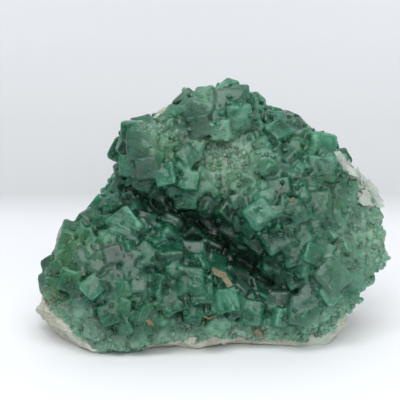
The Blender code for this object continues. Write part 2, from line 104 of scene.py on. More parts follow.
# The large crystals: u, v of the front face's middle, edge, roll, pitch up, yaw right, lift
LEADING = (
    # The top swell
    (11, 137, 14.5, 2, 20, 5, 3), (20.5, 136, 10, -8, 10, 25, 2), (16, 127, 13.5, 4, -5, 8, 5),
    (-6.5, 131, 13, -22, 12, -15, 4), (-6, 122, 11, 15, -12, -8, 6), (5.5, 120, 10, 5, 0, -5, 8),
    (-2, 140, 12, 24, 35, -12, -1), (-14, 134.5, 8, 45, 15, -20, 1), (-13.5, 121, 9, 10, 20, -25, 3),
    (27, 128, 8, 40, 0, 30, 0),
    # The edge running down to the right shoulder
    (36, 127, 13, 3, 40, 5, 0), (47, 123, 10, 20, 20, 20, 1), (54, 117, 8, -15, 15, 25, 0),
    (27, 120, 9, 30, 10, 0, 1),
    # The right shoulder
    (63, 112, 15, -6, 8, 22, 3), (60, 99, 14, -4, 5, -8, 6), (73.5, 101, 10, 25, 5, 40, 0),
    (45, 111, 11, 3, 25, 0, 2), (46.5, 103, 10, 35, -5, 20, 3), (73, 84, 13, 4, 12, 18, 2),
    (57.5, 80, 13, -3, 6, -8, 4), (60, 72, 10, 8, -10, 10, 3), (48, 85, 9, 22, 10, -15, 1),
    (54, 90, 8, 40, 0, 0, 1),
    # The right edge
    (89, 70, 10, 15, 10, 35, 2), (91, 59, 10.5, -20, 0, 40, 2), (88, 47, 10, 35, -5, 35, 2),
    (79, 37, 11, 12, 0, 25, 3),
    # The middle
    (26, 75, 14, 38, 12, -6, 5), (42, 78, 10.5, -12, 12, 8, 3), (47.5, 74, 8, 18, 5, 0, 3),
    (37, 89, 11.5, 8, 22, -5, 3), (28, 87, 9, 50, 0, -15, 1), (-25, 96, 10.5, 10, 8, -18, 5),
    (-11.5, 93, 9.5, -8, 10, 0, 4), (-14, 83, 11.5, 1, 4, -4, 6), (-21, 88, 8, 30, 0, -10, 3),
    (15.5, 82, 8, 20, 15, 10, 2), (8, 87, 7.5, 40, 20, 0, 1), (17, 68.5, 9, 5, -10, -10, 3),
    # The upper left swell
    (-38, 112, 17, 0, -6, -14, 4), (-50, 99, 8.5, 20, 0, -35, 1), (-38, 124, 12, 12, 38, -10, 0),
    (-45, 99.5, 11.5, -6, -16, -22, 4), (-34.5, 99, 11.5, 10, -20, -2, 5),
    (-46, 120, 9, 40, 15, -35, 1), (-29, 114, 8, 25, 10, 15, 2), (-30.5, 104, 9, -15, 0, 10, 3),
    # The lower left wing
    (-47, 69, 15, 38, 10, -6, 6), (-35, 71, 9.5, -18, 15, 10, 4), (-39, 86.5, 12, 6, -12, 8, -3),
    (-52, 87, 9.5, 30, 10, -30, 1), (-59.5, 68, 11.5, -10, 8, -14, 4),
    (-35.5, 53, 12, 44, 12, 6, 5), (-29.5, 73.5, 9, 22, -8, 25, -1), (-52.5, 53, 9.5, 15, 15, 0, 3),
    (-75, 52, 12.5, 35, 25, -25, 1), (-89.5, 46.5, 9, 20, 10, -40, 0), (-91, 36.5, 9.5, 5, 0, -45, 0),
    (-75.5, 38.5, 11.5, -14, -8, -12, 4), (-63, 36, 10, 40, 14, 0, 4), (-68, 25, 11, 6, 5, -4, 6),
    (-39, 38, 10, 0, 32, 5, 4), (-47, 34.5, 8, 12, 0, -20, 4), (-54, 21.5, 10.5, 20, 5, 0, 5),
    (-79, 22, 12, 10, 0, -15, 3), (-62.5, 13, 11, -12, -12, -8, 4),
    (-68, 52, 10, 25, 20, -10, 3), (-44, 43, 9.5, 50, 10, 0, 3),
    # Below the hollow, down to the foot
    (-9.5, 54, 12, 5, 30, 0, 5), (-11, 39.5, 13.5, -4, 5, -4, 4), (-5, 33, 11.5, 2, 12, 8, 5),
    (-22, 26.5, 10.5, 25, 10, -5, 4), (-9, 21.5, 9.5, -10, 8, 10, 4), (8, 28, 12, 15, 8, 12, 4),
    (2, 16, 13, 45, 10, 0, 5), (14.5, 11, 11, 5, 15, 5, 4), (22.5, 21.5, 12, -12, 6, 0, 4),
    (-27.5, 12, 11, 8, 5, -8, 3), (-17, 11, 10.5, -20, 4, 5, 3), (-40, 9, 10.5, 22, 0, -10, 3),
    (-51, 7, 10, -8, -5, -12, 3), (25.5, 11, 10, 30, 5, 0, 3), (34.5, 12, 10, 0, 0, 10, 3),
    # The lower right
    (38, 26.5, 12.5, 3, 2, -10, 4), (50.5, 22.5, 15, -8, 8, 6, 5), (74, 27.5, 13.5, 30, 8, 25, 3),
    (66, 41.5, 16.5, 40, 15, 15, 4), (55.5, 53, 10, -22, 5, 30, 4), (45, 53, 11.5, 10, 12, -8, 4),
    (34, 60, 11.5, 28, 10, -5, 5), (52.5, 33, 7.5, -35, 15, 0, 4), (67, 70, 10, 15, 0, 10, 1),
    (80.5, 74, 9, -10, 10, 30, 1), (48, 11, 10, -10, -8, 4, 3), (63, 15.5, 9.5, 20, 0, 20, 2),
    (25, 48.5, 8, 18, 5, 10, -1), (11.5, 58, 9, -25, -12, -8, -1), (49, 63, 9.5, 30, 5, 0, 2),
    (58, 62, 9, -12, 8, 8, 2),
)
LEADING_SINK = 4.0

# Places where the crystals between the leading ones stay small: u, v, radius, size
FINE_GROUND = ((9, 105, 17, 0.7), (84, 56, 15, 0.75), (-28, 120, 9, 0.7))
# Places where the rock is bare of crystals: u, v, radius
BARE_GROUND = ((-96, 20, 14), (88, 94, 9), (-26, 132, 6), (60, 6, 8))

# The crystals between the leading ones, drawn as the solid model draws them. Each is as large as
# its gap allows within the sizes, leans by up to so many degrees and stands out by a share of its edge
FILLING_SEED = 11
FILLING_COUNT = 88
FILLING_DRAWS = 60
FILLING = {
    "taken_share": 1.7, "spacing": 0.42, "sizes": (6.5, 12.0), "lean_most": 38, "rise": (-0.05, 0.2),
}
MIDDLING = {
    "taken_share": 1.7, "spacing": 0.36, "sizes": (5.0, 9.0), "lean_most": 50, "rise": (-0.05, 0.3),
}
SMALL = {"taken_share": 1.6, "spacing": 0.34, "lean_most": 60, "rise": (0.0, 0.4)}
SMALL_SPREAD = (0.65, 1.35)
# Crystals with this edge or more carry a smaller twin, that share of their size
TWIN_EDGE = 12.5
TWIN_SHARE = 0.62
# Steps of parallel growth: how many, their size and how far they stand out, as shares of the edge,
# and how far they reach sideways, where 1 is flush with the larger crystal's side
STEP_COUNTS = (1, 2, 2, 3)
STEP_SIZES = (0.4, 0.75)
STEP_RISE = (0.01, 0.06)
STEP_REACH = 1.1
# How the sides of one crystal differ: the large ones, the steps and the small ones
LARGE_SIDES = (0.94, 1.05)
STEP_SIDES = (0.88, 1.12)
SMALL_SIDES = (0.8, 1.15)
LARGE_SOFTENING = (0.7, 1.4)
# Grown faces are uneven: wave lengths and heights in millimetres
UNEVENNESS = ((6.5, 0.5), (2.4, 0.14))
FLAT_UNDER = 0.5
# Share of the large crystals with a second one grown through them, turned round a corner
THROUGH_SHARE = 0.5
THROUGH_TURN = math.radians(60)
# The crystals' common skin is found on a grid with this step, in millimetres
GRID_STEP = 0.9
# Crystals that meet are blended over this width, in millimetres
BLEND = 1.5
# Share of the skin's faces that is kept
FACES_KEPT = 0.68
# Loose pieces with fewer faces than this are left out
CRUMB_FACES = 60
# Crystals that hang over the rock along the foot: u, v, edge
FOOT_CRYSTALS = (
    (-88, 32, 7), (-84, 26, 7.5), (-78, 19, 8), (-72, 13.5, 8), (-65, 9, 8), (-58, 7.5, 8),
    (-51, 6, 8), (-44, 6.5, 7.5), (-36, 7.5, 8), (-29, 8.5, 7.5), (-22, 8, 7.5), (-14, 8.5, 8),
    (-5, 10.5, 7.5), (5, 11.5, 8), (16, 11, 7.5), (27, 11, 7.5), (38, 10.5, 8), (49, 10.5, 8),
    (57, 13, 7), (68, 20, 8),
)
# Along the foot the crystals end at this share of the crust's inset, up to this height
FOOT_RIM_SHARE = 0.55
FOOT_RIM_TOP = 26
FACING_LEAST = -0.15
# The rock is broken in facets from this far behind the crystal ground, in full after the fade
FACETS_FROM = 22
FACETS_FADE = 14
# The rock's foot is flat up to this height, and its relief is full from the second height on
FLAT_FOOT = 0.3
FOOT_FADE = 6
# The quartz grains thin out over the fade and end this far behind the crystal ground
GRAINS_END = 34
GRAINS_FADE = 14
# Before it is made finer, the rock's mesh has no edge longer than this, in millimetres
LONGEST_EDGE = 8
# The visible ground between the large crystals is this much higher, and finer crystals cover it
GROUND_RAISE = 2.5

# Smooth ground between the crystals stands higher here: u, v, radius, height
GROUND_SWELLS = ((11, 106, 15, 3.5), (-27, 118, 8, 2.5), (87, 55, 13, 2.0))

# Patches of colour on the face: u, v, radius, strength
PALE_PATCHES = (
    (11, 106, 16, 1.0), (-27, 119, 9, 0.8), (96, 60, 26, 1.0), (-90, 24, 9, 0.6), (76, 20, 9, 0.5),
    (-62, 0, 12, 0.5), (30, 6, 12, 0.35), (63, 8, 10, 0.7), (84, 84, 8, 0.7), (-2, 142, 8, 0.5),
    (-40, 1, 10, 0.35), (58, 10, 8, 0.4),
)
WARM_PATCHES = (
    (-73, 55, 15, 0.9), (9, 100, 17, 0.8), (-27, 112, 10, 0.8), (66, 88, 12, 0.5),
    (-88, 30, 9, 0.8), (-44, 27, 9, 0.5), (52, 112, 8, 0.4), (70, 48, 9, 0.4), (-30, 22, 9, 0.4),
)
# Patches of painted shade on the face, in its hollows and where it lies dimmer: u, v, radius, strength
PAINTED_SHADE_PATCHES = (
    (-39, 86, 7, 0.8), (-28, 78, 9, 1.0), (-10, 68, 11, 0.9), (6, 58, 11, 0.9), (20, 46, 11, 0.9),
    (35, 37, 9, 0.8), (-62, 60, 7, 0.4), (50, 33, 8, 0.4), (-45, 45, 8, 0.4), (-20, 40, 8, 0.5),
    (-68, 36, 32, 0.45), (-15, 15, 28, 0.35), (-42, 108, 18, 0.45),
)

# Splinters between the crystals: u, v, length, width, roll, lift
RUSTY_CHIPS = (
    (4.5, 42.5, 11, 5.5, -38, 1.0), (8, 39, 9, 5, -60, 1.2), (26, 9.5, 9, 3.6, -48, 0.8),
    (-32.5, 17, 7, 3, -62, 0.8),
    (43.5, 82, 5, 2.2, 35, 0.6), (-4, 20, 9, 1.2, -25, 0.4), (1, 19.5, 8, 1.1, 20, 0.4),
)
# Brown specks: u, v, spread, size, count
RUSTY_SPECKS = (
    (-86, 29, 3.5, 1.7, 40), (-26, 41, 3.0, 1.0, 18), (-31, 24, 2.5, 0.9, 7), (-45, 9, 5, 0.9, 8),
    (34, 21, 4, 0.8, 6),
)
# The white blades: how many, and the line of the crystal face that they run along: u, v
BLADE_COUNT = 30
BLADE_START = Vector((76, 106))
BLADE_END = Vector((93, 82))
# Their longest sides, in millimetres, and their mean turns with the spread, in degrees
BLADE_SIDES = ((10, 19), (4, 7), (0.4, 0.9))
BLADE_TURNS = (("Z", -52, 14), ("X", -20, 14), ("Y", 25, 12))

# Where the finest crystals grow thick
FINE_PATCHES = ((11, 107, 14, 1.0), (-28, 119, 8, 0.7), (88, 55, 13, 0.9), (80, 76, 8, 0.5))

# Patches of stain and of milky quartz on the rock: u, v, radius, strength
STAIN_PATCHES = ((-86, 30, 8, 1.0), (0, 62, 20, 0.4), (-26, 128, 7, 0.4))
MILKY_PATCHES = ((86, 93, 12, 0.8), (62, 4, 16, 0.5), (-60, -4, 25, 0.3))

WEATHER_SEED = 21
ROCK_SEED = 7
CHIP_SEED = 8
BLADE_SEED = 12
FINE_SEED = 4
GRAIN_SEED = 6
SIZE_SEED = 3
# The scattered pieces and the marks keep clear of the floor by this height, in millimetres
FLOOR_CLEARANCE = 3

QUARTZ_IOR = 1.544
# How far red, green and blue light spreads under a crystal's faces, as shares of the depth in metres
SPREAD_SHARES = (0.35, 1.0, 0.65)
SPREAD_DEPTH = 0.006

# The wall's brightness at these shares of its shaded height, in metres
WALL_SHADE = ((0.0, 1.0), (0.05, 0.93), (0.16, 0.68), (0.5, 0.71), (1.0, 0.86))
WALL_SHADE_HEIGHT = 0.12
# The floor's and the wall's reach to the front, the sides and the top, and the corner between them
FLOOR_FRONT = -1.6
FLOOR_BEND = -0.4
HALF_WIDTH = 1.6
WALL_MIDDLE = 0.8
WALL_TOP = 1.6
CORNER_RADIUS = 0.12
CORNER_STEPS = 12
BACKDROP_ROUGHNESS = 0.6
# The lights face this height above the floor
LIT_HEIGHT = 0.06
SOFTBOX = {"size": (0.9, 0.6), "where": (0.0, -0.35, 0.9)}
WINDOW = {"size": (1.2, 0.9), "where": (0.1, -1.4, 0.95)}
SKY_COLOUR = (0.93, 0.97, 1.0)
# The camera looks straight at the crystal face: its u, v and distance in millimetres, and its lens
CAMERA_SPOT = (-5.9, 82, 900)
CAMERA_LENS = 150
SENSOR_WIDTH = 36


def place(u, v, w):
    """A point of the face frame, in millimetres, with the object's origin under its middle."""
    return ACROSS * u + UP_FACE * v + OUTWARD * w - ORIGIN


def on_face(spot):
    """u and v of a spot given in millimetres."""
    return (spot + ORIGIN).dot(ACROSS), (spot + ORIGIN).dot(UP_FACE)


def rim_radius(angle, inset_share=1.0):
    """Distance from MIDDLE to the outline along an angle, less that share of the crust's inset."""
    points = []
    for at_u, at_v, inset in RIM:
        u, v = at_u - MIDDLE[0], at_v - MIDDLE[1]
        points.append((math.atan2(v, u) % math.tau, math.hypot(u, v) - inset * inset_share))
    points.sort()
    angles = [points[-1][0] - math.tau] + [p[0] for p in points] + [points[0][0] + math.tau]
    radii = [points[-1][1]] + [p[1] for p in points] + [points[0][1]]
    return np.interp(angle % math.tau, angles, radii)


def face_height(u, v, spread=1.0):
    """How far the crystal ground stands out at u, v, before the edge falls back."""
    height = FACE_START + FACE_SLOPE * v
    for centre_u, centre_v, radius, rise in RELIEF:
        if rise < 0:
            radius *= spread
        away = ((u - centre_u) ** 2 + (v - centre_v) ** 2) / radius**2
        height += rise * np.exp(-away / 2)
    return height


def rounding(share):
    """How far the face has fallen back at this share of the way from MIDDLE to the outline."""
    return FACE_ROUNDING * share**ROUNDING_POWER


def base_ring(share, sink, spread=1.0):
    """One ring of the crust's base, as points in the face frame, sunk below the crystal ground."""
    ring = []
    for step in range(BASE_RAYS):
        angle = math.tau * step / BASE_RAYS
        reach = share * rim_radius(angle)
        u = MIDDLE[0] + reach * math.cos(angle)
        v = MIDDLE[1] + reach * math.sin(angle)
        ring.append(Vector((u, v, face_height(u, v, spread) - rounding(share) - sink)))
    return ring


def closed_loft(rings, first, last):
    """A closed mesh through rings of equal length, ended by a single point at each side."""
    shape = bmesh.new()
    tip = shape.verts.new(place(*first) * MM)
    rows = [[shape.verts.new(place(*point) * MM) for point in ring] for ring in rings]
    end = shape.verts.new(place(*last) * MM)
    count = len(rings[0])
    for step in range(count):
        after = (step + 1) % count
        shape.faces.new((tip, rows[0][step], rows[0][after]))
        for inner, outer in zip(rows, rows[1:]):
            shape.faces.new((inner[step], outer[step], outer[after], inner[after]))
        shape.faces.new((rows[-1][step], end, rows[-1][after]))
    bmesh.ops.triangulate(shape, faces=shape.faces)
    bmesh.ops.recalc_face_normals(shape, faces=shape.faces)
    shape.normal_update()
    return shape


def crust_base_shape(raised=0.0):
    """The sheet that all the crystals grow from. It laps round the rim and is rooted in the rock."""
    root = CRUST_THICKNESS + CRUST_ROOT
    sink = CRUST_THICKNESS - CRUST_BASE
    rings = [base_ring(share, sink - raised * (1 - share**4)) for share in BASE_RINGS]
    lap = []
    for step, point in enumerate(rings[-1]):
        upper = max(0.0, math.sin(math.tau * step / BASE_RAYS) + 0.35)
        lap.append(Vector((point.x, point.y, point.z - 3 - 9 * min(1.0, upper))))
    rings.append(lap)
    for share in ROOT_RINGS:
        rings.append(base_ring(share, root, HOLLOW_SPREAD))
    first = (*MIDDLE, face_height(*MIDDLE) - sink + raised)
    last = (*MIDDLE, face_height(*MIDDLE, HOLLOW_SPREAD) - root)
    return closed_loft(rings, first, last)


def leading_crystals():
    """The large crystals, as (middle, turn, edge) with the middle in millimetres."""
    found = []
    for u, v, edge, roll, pitch, yaw, lift in LEADING:
        turn = FACE_AXES @ (
            Matrix.Rotation(math.radians(-pitch), 3, "X")
            @ Matrix.Rotation(math.radians(yaw), 3, "Y")
            @ Matrix.Rotation(math.radians(roll), 3, "Z")
        )
        away = math.hypot(u - MIDDLE[0], v - MIDDLE[1])
        angle = math.atan2(v - MIDDLE[1], u - MIDDLE[0])
        share = min(1.0, away / rim_radius(angle))
        front = place(u, v, face_height(u, v) - rounding(share) - LEADING_SINK + lift)
        found.append((front - turn.col[2] * edge / 2, turn, edge))
    return found


def foot_crystals(random):
    """Crystals along the foot, each turned by chance, as (middle, turn, edge)."""
    found = []
    for u, v, edge in FOOT_CRYSTALS:
        angle = math.atan2(v - MIDDLE[1], u - MIDDLE[0])
        share = min(1.0, math.hypot(u - MIDDLE[0], v - MIDDLE[1]) / rim_radius(angle))
        turn = FACE_AXES @ Matrix.Rotation(math.radians(random.uniform(-15, 30)), 3, "X")
        turn = turn @ Matrix.Rotation(math.radians(random.uniform(-20, 20)), 3, "Y")
        turn = turn @ Matrix.Rotation(random.uniform(0, math.pi / 2), 3, "Z")
        spot = place(u, v, face_height(u, v) - rounding(share) - LEADING_SINK - edge / 2)
        found.append((spot, turn, edge))
    return found


def twins_of(crystals, random):
    """Smaller cubes grown parallel to the larger ones, out of a corner of each."""
    found = []
    for middle, turn, edge in crystals:
        if edge < TWIN_EDGE:
            continue
        side = random.choice((-1, 1))
        rise = random.choice((-1, 1))
        small = edge * TWIN_SHARE * random.uniform(0.85, 1.1)
        step = Vector((side * 0.42 * edge, rise * 0.4 * edge, random.uniform(-0.05, 0.12) * edge))
        found.append((middle + turn @ step, turn, small))
    return found


def is_bare(spot):
    u, v = on_face(spot)
    return any(math.hypot(u - at_u, v - at_v) < radius for at_u, at_v, radius in BARE_GROUND)


def fine_share(spot):
    """How far the crystals are scaled down at a spot, given in millimetres."""
    u, v = on_face(spot)
    share = 1.0
    for centre_u, centre_v, radius, size in FINE_GROUND:
        if math.hypot(u - centre_u, v - centre_v) < radius:
            share = min(share, size)
    return share


def random_spot(faces, areas, random):
    """A face of the base and a spot on it, in millimetres, every spot as likely as another."""
    face = faces[int(np.searchsorted(areas, random.random() * areas[-1]))]
    a, b = sorted((random.random(), random.random()))
    corners = [vertex.co for vertex in face.verts]
    return face, (corners[0] * a + corners[1] * (b - a) + corners[2] * (1 - b)) / MM


def filling_crystals(base, taken, random, count, taken_share, spacing, sizes, lean_most, rise):
    """Crystals between the others, each in the widest gap of a few drawn at random."""
    faces = [f for f in base.faces if f.normal.dot(OUTWARD) > FACING_LEAST]
    areas = np.cumsum([f.calc_area() for f in faces])
    middles = [middle for middle, _, _ in taken]
    edges = [edge for _, _, edge in taken]
    found = []
    while len(found) < count:
        draws = [random_spot(faces, areas, random) for _ in range(FILLING_DRAWS)]
        draws = [(face, spot) for face, spot in draws if not is_bare(spot)]
        apart = np.linalg.norm(np.array([s for _, s in draws])[:, None] - np.array(middles), axis=2)
        gaps = np.min(apart - spacing * np.array(edges), axis=1)
        widest = int(np.argmax(gaps))
        face, spot = draws[widest]
        edge = min(max(taken_share * float(gaps[widest]), sizes[0]), sizes[1])
        edge *= fine_share(spot) * random.uniform(0.9, 1.1)
        lean = Matrix.Rotation(math.radians(random.uniform(0, lean_most)), 3, "X")
        spin = Matrix.Rotation(random.uniform(0, math.tau), 3, "Z")
        own_spin = Matrix.Rotation(random.uniform(0, math.tau), 3, "Z")
        upright = face.normal.to_track_quat("Z", "Y").to_matrix()
        middle = spot + face.normal * edge * random.uniform(*rise)
        found.append((middle, upright @ spin @ lean @ own_spin, edge))
        middles.append(middle)
        edges.append(edge)
    return found


def steps_of(crystals, random, look):
    """Steps of parallel growth: flatter cubes that stand a little proud of the larger ones' faces."""
    found = []
    for middle, turn, edge in crystals:
        if edge < look.stepped_edge:
            continue
        for _ in range(random.choice(STEP_COUNTS)):
            small = edge * random.uniform(*STEP_SIZES)
            reach = edge / 2 - small / 2 + edge * random.uniform(*STEP_RISE)
            side = random.uniform(-STEP_REACH, STEP_REACH) * (edge - small) / 2
            up = random.uniform(-STEP_REACH, STEP_REACH) * (edge - small) / 2
            axis = random.choice((0, 1, 2, 2))
            step = [side, up]
            step.insert(axis, reach * (1 if axis == 2 else random.choice((-1, 1))))
            found.append((middle + turn @ Vector(step), turn, small))
        if random.random() < THROUGH_SHARE:
            corner = Vector((random.choice((-1, 1)), random.choice((-1, 1)), 1))
            twisted = turn @ Matrix.Rotation(THROUGH_TURN, 3, corner)
            shift = Vector(random.uniform(-0.12, 0.12) * edge for _ in range(3))
            found.append((middle + turn @ shift, twisted, edge * random.uniform(0.8, 0.95)))
    return found


def all_crystals(base, raised_base, look):
    """Every crystal of the crust: the large ones, their steps, and the finer ones between them."""
    random = Random(FILLING_SEED)
    crystals = leading_crystals()
    crystals += twins_of(crystals, random)
    crystals += filling_crystals(base, crystals, random, FILLING_COUNT, **FILLING)
    random = Random(look.seed)
    crystals += foot_crystals(random)
    steps = steps_of(crystals, random, look)
    fine = filling_crystals(raised_base, crystals, random, look.middling_count, **MIDDLING)
    sizes = [look.small_edge / MM * share for share in SMALL_SPREAD]
    fine += filling_crystals(
        raised_base, crystals + fine, random, look.small_count, sizes=sizes, **SMALL
    )
    return crystals, steps, fine


def link_object(name, data):
    made = bpy.data.objects.new(name, data)
    bpy.context.scene.collection.objects.link(made)
    return made


def to_object(name, shape):
    mesh = bpy.data.meshes.new(name)
    shape.to_mesh(mesh)
    shape.free()
    return link_object(name, mesh)


def drop(*objects):
    for old in objects:
        mesh = old.data
        bpy.data.objects.remove(old, do_unlink=True)
        bpy.data.meshes.remove(mesh)


def settled(made):
    """The object's mesh with its modifiers worked in, as a mesh of its own."""
    graph = bpy.context.evaluated_depsgraph_get()
    return bpy.data.meshes.new_from_object(made.evaluated_get(graph))


def from_mesh(mesh):
    """The mesh opened for changes. The mesh itself is deleted."""
    shape = bmesh.new()
    shape.from_mesh(mesh)
    bpy.data.meshes.remove(mesh)
    return shape


def merged_copy(node):
    """A copy of a solid's mesh with its loose triangles joined."""
    shape = bmesh.new()
    shape.from_mesh(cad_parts[node].data)
    bmesh.ops.remove_doubles(shape, verts=shape.verts, dist=1e-6)
    shape.normal_update()
    return shape


def evenly_cut(shape):
    """Cuts the long edges of a mesh until none is longer than the rock's relief can bear."""
    while True:
        long = [edge for edge in shape.edges if edge.calc_length() > LONGEST_EDGE * MM]
        if not long:
            return shape
        bmesh.ops.subdivide_edges(shape, edges=long, cuts=1)
        bmesh.ops.triangulate(shape, faces=shape.faces)


def to_face(spots):
    """Spots in millimetres as u, v, w of the face frame."""
    return (np.asarray(spots) + np.array(ORIGIN)) @ np.array(FACE_AXES)


def base_distance(axes, raised):
    """Distance of every grid point from the sheet that the crystals grow from."""
    u, v = np.meshgrid(axes[0], axes[1], indexing="ij")
    angle = np.arctan2(v - MIDDLE[1], u - MIDDLE[0])
    edge = rim_radius(angle)
    share = np.hypot(u - MIDDLE[0], v - MIDDLE[1]) / edge
    held = np.minimum(share, 1)
    sink = CRUST_THICKNESS - CRUST_BASE
    top = face_height(u, v) - rounding(held) - sink + raised * (1 - held**4)
    for at_u, at_v, radius, rise in GROUND_SWELLS:
        top = top + rise * np.exp(-((u - at_u) ** 2 + (v - at_v) ** 2) / radius**2)
    lap = sink + 3 + 9 * np.clip(np.sin(angle) + 0.35, 0, 1)
    outward = np.clip((held - ROOT_RINGS[0]) / (1 - ROOT_RINGS[0]), 0, 1)
    depth = (CRUST_THICKNESS + CRUST_ROOT) * (1 - outward) + lap * outward
    bottom = face_height(u, v, HOLLOW_SPREAD) - rounding(held) - depth
    w = axes[2][None, None]
    slope = 0.85
    sheet = np.maximum((w - top[..., None]) * slope, (bottom[..., None] - w) * slope)
    return np.maximum(sheet, ((share - 1) * edge)[..., None])


def crystal_distance(near, turn, halves, width):
    """Distance from a crystal with rounded edges, of spots given from its middle."""
    beyond = np.abs(near @ turn) - (halves - width)
    outside = np.linalg.norm(np.maximum(beyond, 0), axis=-1)
    return outside + np.minimum(np.max(beyond, axis=-1), 0) - width


def blended(first, second):
    """The smaller of two distances, rounded where they are nearly equal."""
    near = np.maximum(BLEND - np.abs(first - second), 0) / BLEND
    return np.minimum(first, second) - near**2 * BLEND / 4


def grown_grid(crystals, raised):
    """Distance from the fused crystals on a grid, the crystal nearest to each point, and the axes."""
    middles = to_face([middle for middle, _, _, _ in crystals])
    margin = 12
    low = middles.min(axis=0) - margin
    high = middles.max(axis=0) + margin
    low[2] -= CRUST_THICKNESS + CRUST_ROOT
    axes = [np.arange(a, b, GRID_STEP) for a, b in zip(low, high)]
    distance = base_distance(axes, raised)
    owner = np.full(distance.shape, -1, dtype=np.int32)
    for number, (middle, (_, turn, sides, width)) in enumerate(zip(middles, crystals)):
        halves = np.array(sides) / 2
        reach = np.linalg.norm(halves) + BLEND
        spans = tuple(
            slice(*np.searchsorted(axis, (at - reach, at + reach))) for axis, at in zip(axes, middle)
        )
        near = np.stack(np.meshgrid(*(a[s] for a, s in zip(axes, spans)), indexing="ij"), axis=-1)
        own_axes = np.array(FACE_AXES).T @ np.array(turn)
        own = crystal_distance(near - middle, own_axes, halves, width)
        owner[spans] = np.where(own < distance[spans], number, owner[spans])
        distance[spans] = blended(distance[spans], own)
    return np.maximum(distance, broken_foot(axes)[..., None]), owner, axes


def broken_foot(axes):
    """How far each u, v lies beyond the broken edge along the foot, where the rock's rim shows."""
    u, v = np.meshgrid(axes[0], axes[1], indexing="ij")
    edge = rim_radius(np.arctan2(v - MIDDLE[1], u - MIDDLE[0]), FOOT_RIM_SHARE)
    beyond = np.hypot(u - MIDDLE[0], v - MIDDLE[1]) - edge
    uneven = 0.8 * np.sin(u * 0.37 + 1) + 0.6 * np.sin(u * 0.9)
    return beyond + uneven - 30 * np.clip((v - FOOT_RIM_TOP) / 10, 0, 1)


def carve(distance, axes):
    """Takes the rock, a narrow gap and all that lies under the floor out of the grid."""
    shape = merged_copy("host_rock")
    tree = BVHTree.FromBMesh(shape)
    shape.free()
    inner = np.argwhere(distance < GRID_STEP)
    spots = np.stack([axis[column] for axis, column in zip(axes, inner.T)], axis=1)
    spots = (spots @ np.array(FACE_AXES).T - np.array(ORIGIN)) * MM
    outside = np.empty(len(spots))
    for number, spot in enumerate(spots):
        near, normal, _, away = tree.find_nearest(spot)
        outside[number] = math.copysign(away, (Vector(spot) - near).dot(normal))
    cut = np.maximum(ROCK_GAP - outside / MM, -spots[:, 2] / MM)
    where = tuple(inner.T)
    distance[where] = np.maximum(distance[where], cut)


def surface_net(distance):
    """Points, in grid steps, and quads of the skin where a grid of distances changes sign."""
    inside = distance < 0
    shape = tuple(size - 1 for size in distance.shape)
    corners = list(product((0, 1), repeat=3))
    total = np.zeros(shape, dtype=np.int8)
    for corner in corners:
        total += inside[tuple(slice(c, c + size) for c, size in zip(corner, shape))]
    cells = np.argwhere((total > 0) & (total < len(corners)))
    number = np.full(shape, -1)
    number[tuple(cells.T)] = np.arange(len(cells))
    spots = np.zeros((len(cells), 3))
    count = np.zeros(len(cells))
    for first in corners:
        for axis in (axis for axis in range(3) if not first[axis]):
            second = np.array(first) + np.eye(3, dtype=int)[axis]
            here = distance[tuple((cells + first).T)]
            there = distance[tuple((cells + second).T)]
            crosses = (here < 0) != (there < 0)
            spots[crosses] += first
            spots[crosses, axis] += here[crosses] / (here - there)[crosses]
            count += crosses
    spots = cells + spots / count[:, None]
    quads = []
    for axis in range(3):
        one, two = np.eye(3, dtype=int)[[(axis + 1) % 3, (axis + 2) % 3]]
        here = np.take(inside, range(shape[axis]), axis)
        changes = here != np.take(inside, range(1, shape[axis] + 1), axis)
        at = np.argwhere(changes)
        ring = [number[tuple((at - step).T)] for step in (one + two, two, 0 * one, one)]
        ring = np.stack(ring, axis=1)
        leaves = here[tuple(at.T)]
        quads.append(np.where(leaves[:, None], ring, ring[:, ::-1]))
    return spots, np.concatenate(quads)


def skin_of(distance, axes):
    """The crust's skin as a mesh in metres, without crumbs and a little uneven."""
    spots, quads = surface_net(distance)
    spots = spots * GRID_STEP + [axis[0] for axis in axes]
    spots = (spots @ np.array(FACE_AXES).T - np.array(ORIGIN)) * MM
    mesh = bpy.data.meshes.new("crystals")
    mesh.from_pydata(spots.tolist(), [], quads.tolist())
    shape = from_mesh(mesh)
    drop_crumbs(shape)
    weather(shape)
    return shape


def blurred(grid, radius):
    """Mean of a grid over a box of this radius in grid steps, taken twice."""
    for axis in (0, 1, 2, 0, 1, 2):
        edges = [(radius + 1, radius) if other == axis else (0, 0) for other in range(3)]
        total = np.cumsum(np.pad(grid, edges, mode="edge"), axis=axis)
        size = grid.shape[axis]
        span = 2 * radius + 1
        grid = np.take(total, range(span, span + size), axis) - np.take(total, range(size), axis)
        grid = grid / span
    return grid


def sample(grid, at):
    """Values of a grid at spots given in grid steps, blended between its points."""
    at = np.clip(at, 0, np.array(grid.shape) - 1.001)
    low = at.astype(int)
    share = at - low
    found = np.zeros(len(at))
    for corner in product((0, 1), repeat=3):
        weight = np.prod(np.where(corner, share, 1 - share), axis=1)
        found += weight * grid[tuple((low + corner).T)]
    return found


def drop_crumbs(shape):
    """Deletes the small loose pieces of a mesh and its small cavities."""
    unseen = set(shape.faces)
    while unseen:
        rim = [unseen.pop()]
        skin = list(rim)
        while rim:
            for near in (n for edge in rim.pop().edges for n in edge.link_faces):
                if near in unseen:
                    unseen.remove(near)
                    skin.append(near)
                    rim.append(near)
        if len(skin) < CRUMB_FACES:
            bmesh.ops.delete(shape, geom=skin, context="FACES")


def weather(shape):
    """Makes the flat faces a little uneven, as grown faces are."""
    noise.seed_set(WEATHER_SEED)
    for vertex in shape.verts:
        spot = vertex.co / MM
        if vertex.co.z > FLAT_UNDER * MM:
            broad, fine = (noise.noise_vector(spot / wave) * high for wave, high in UNEVENNESS)
            vertex.co += (broad + fine) * MM


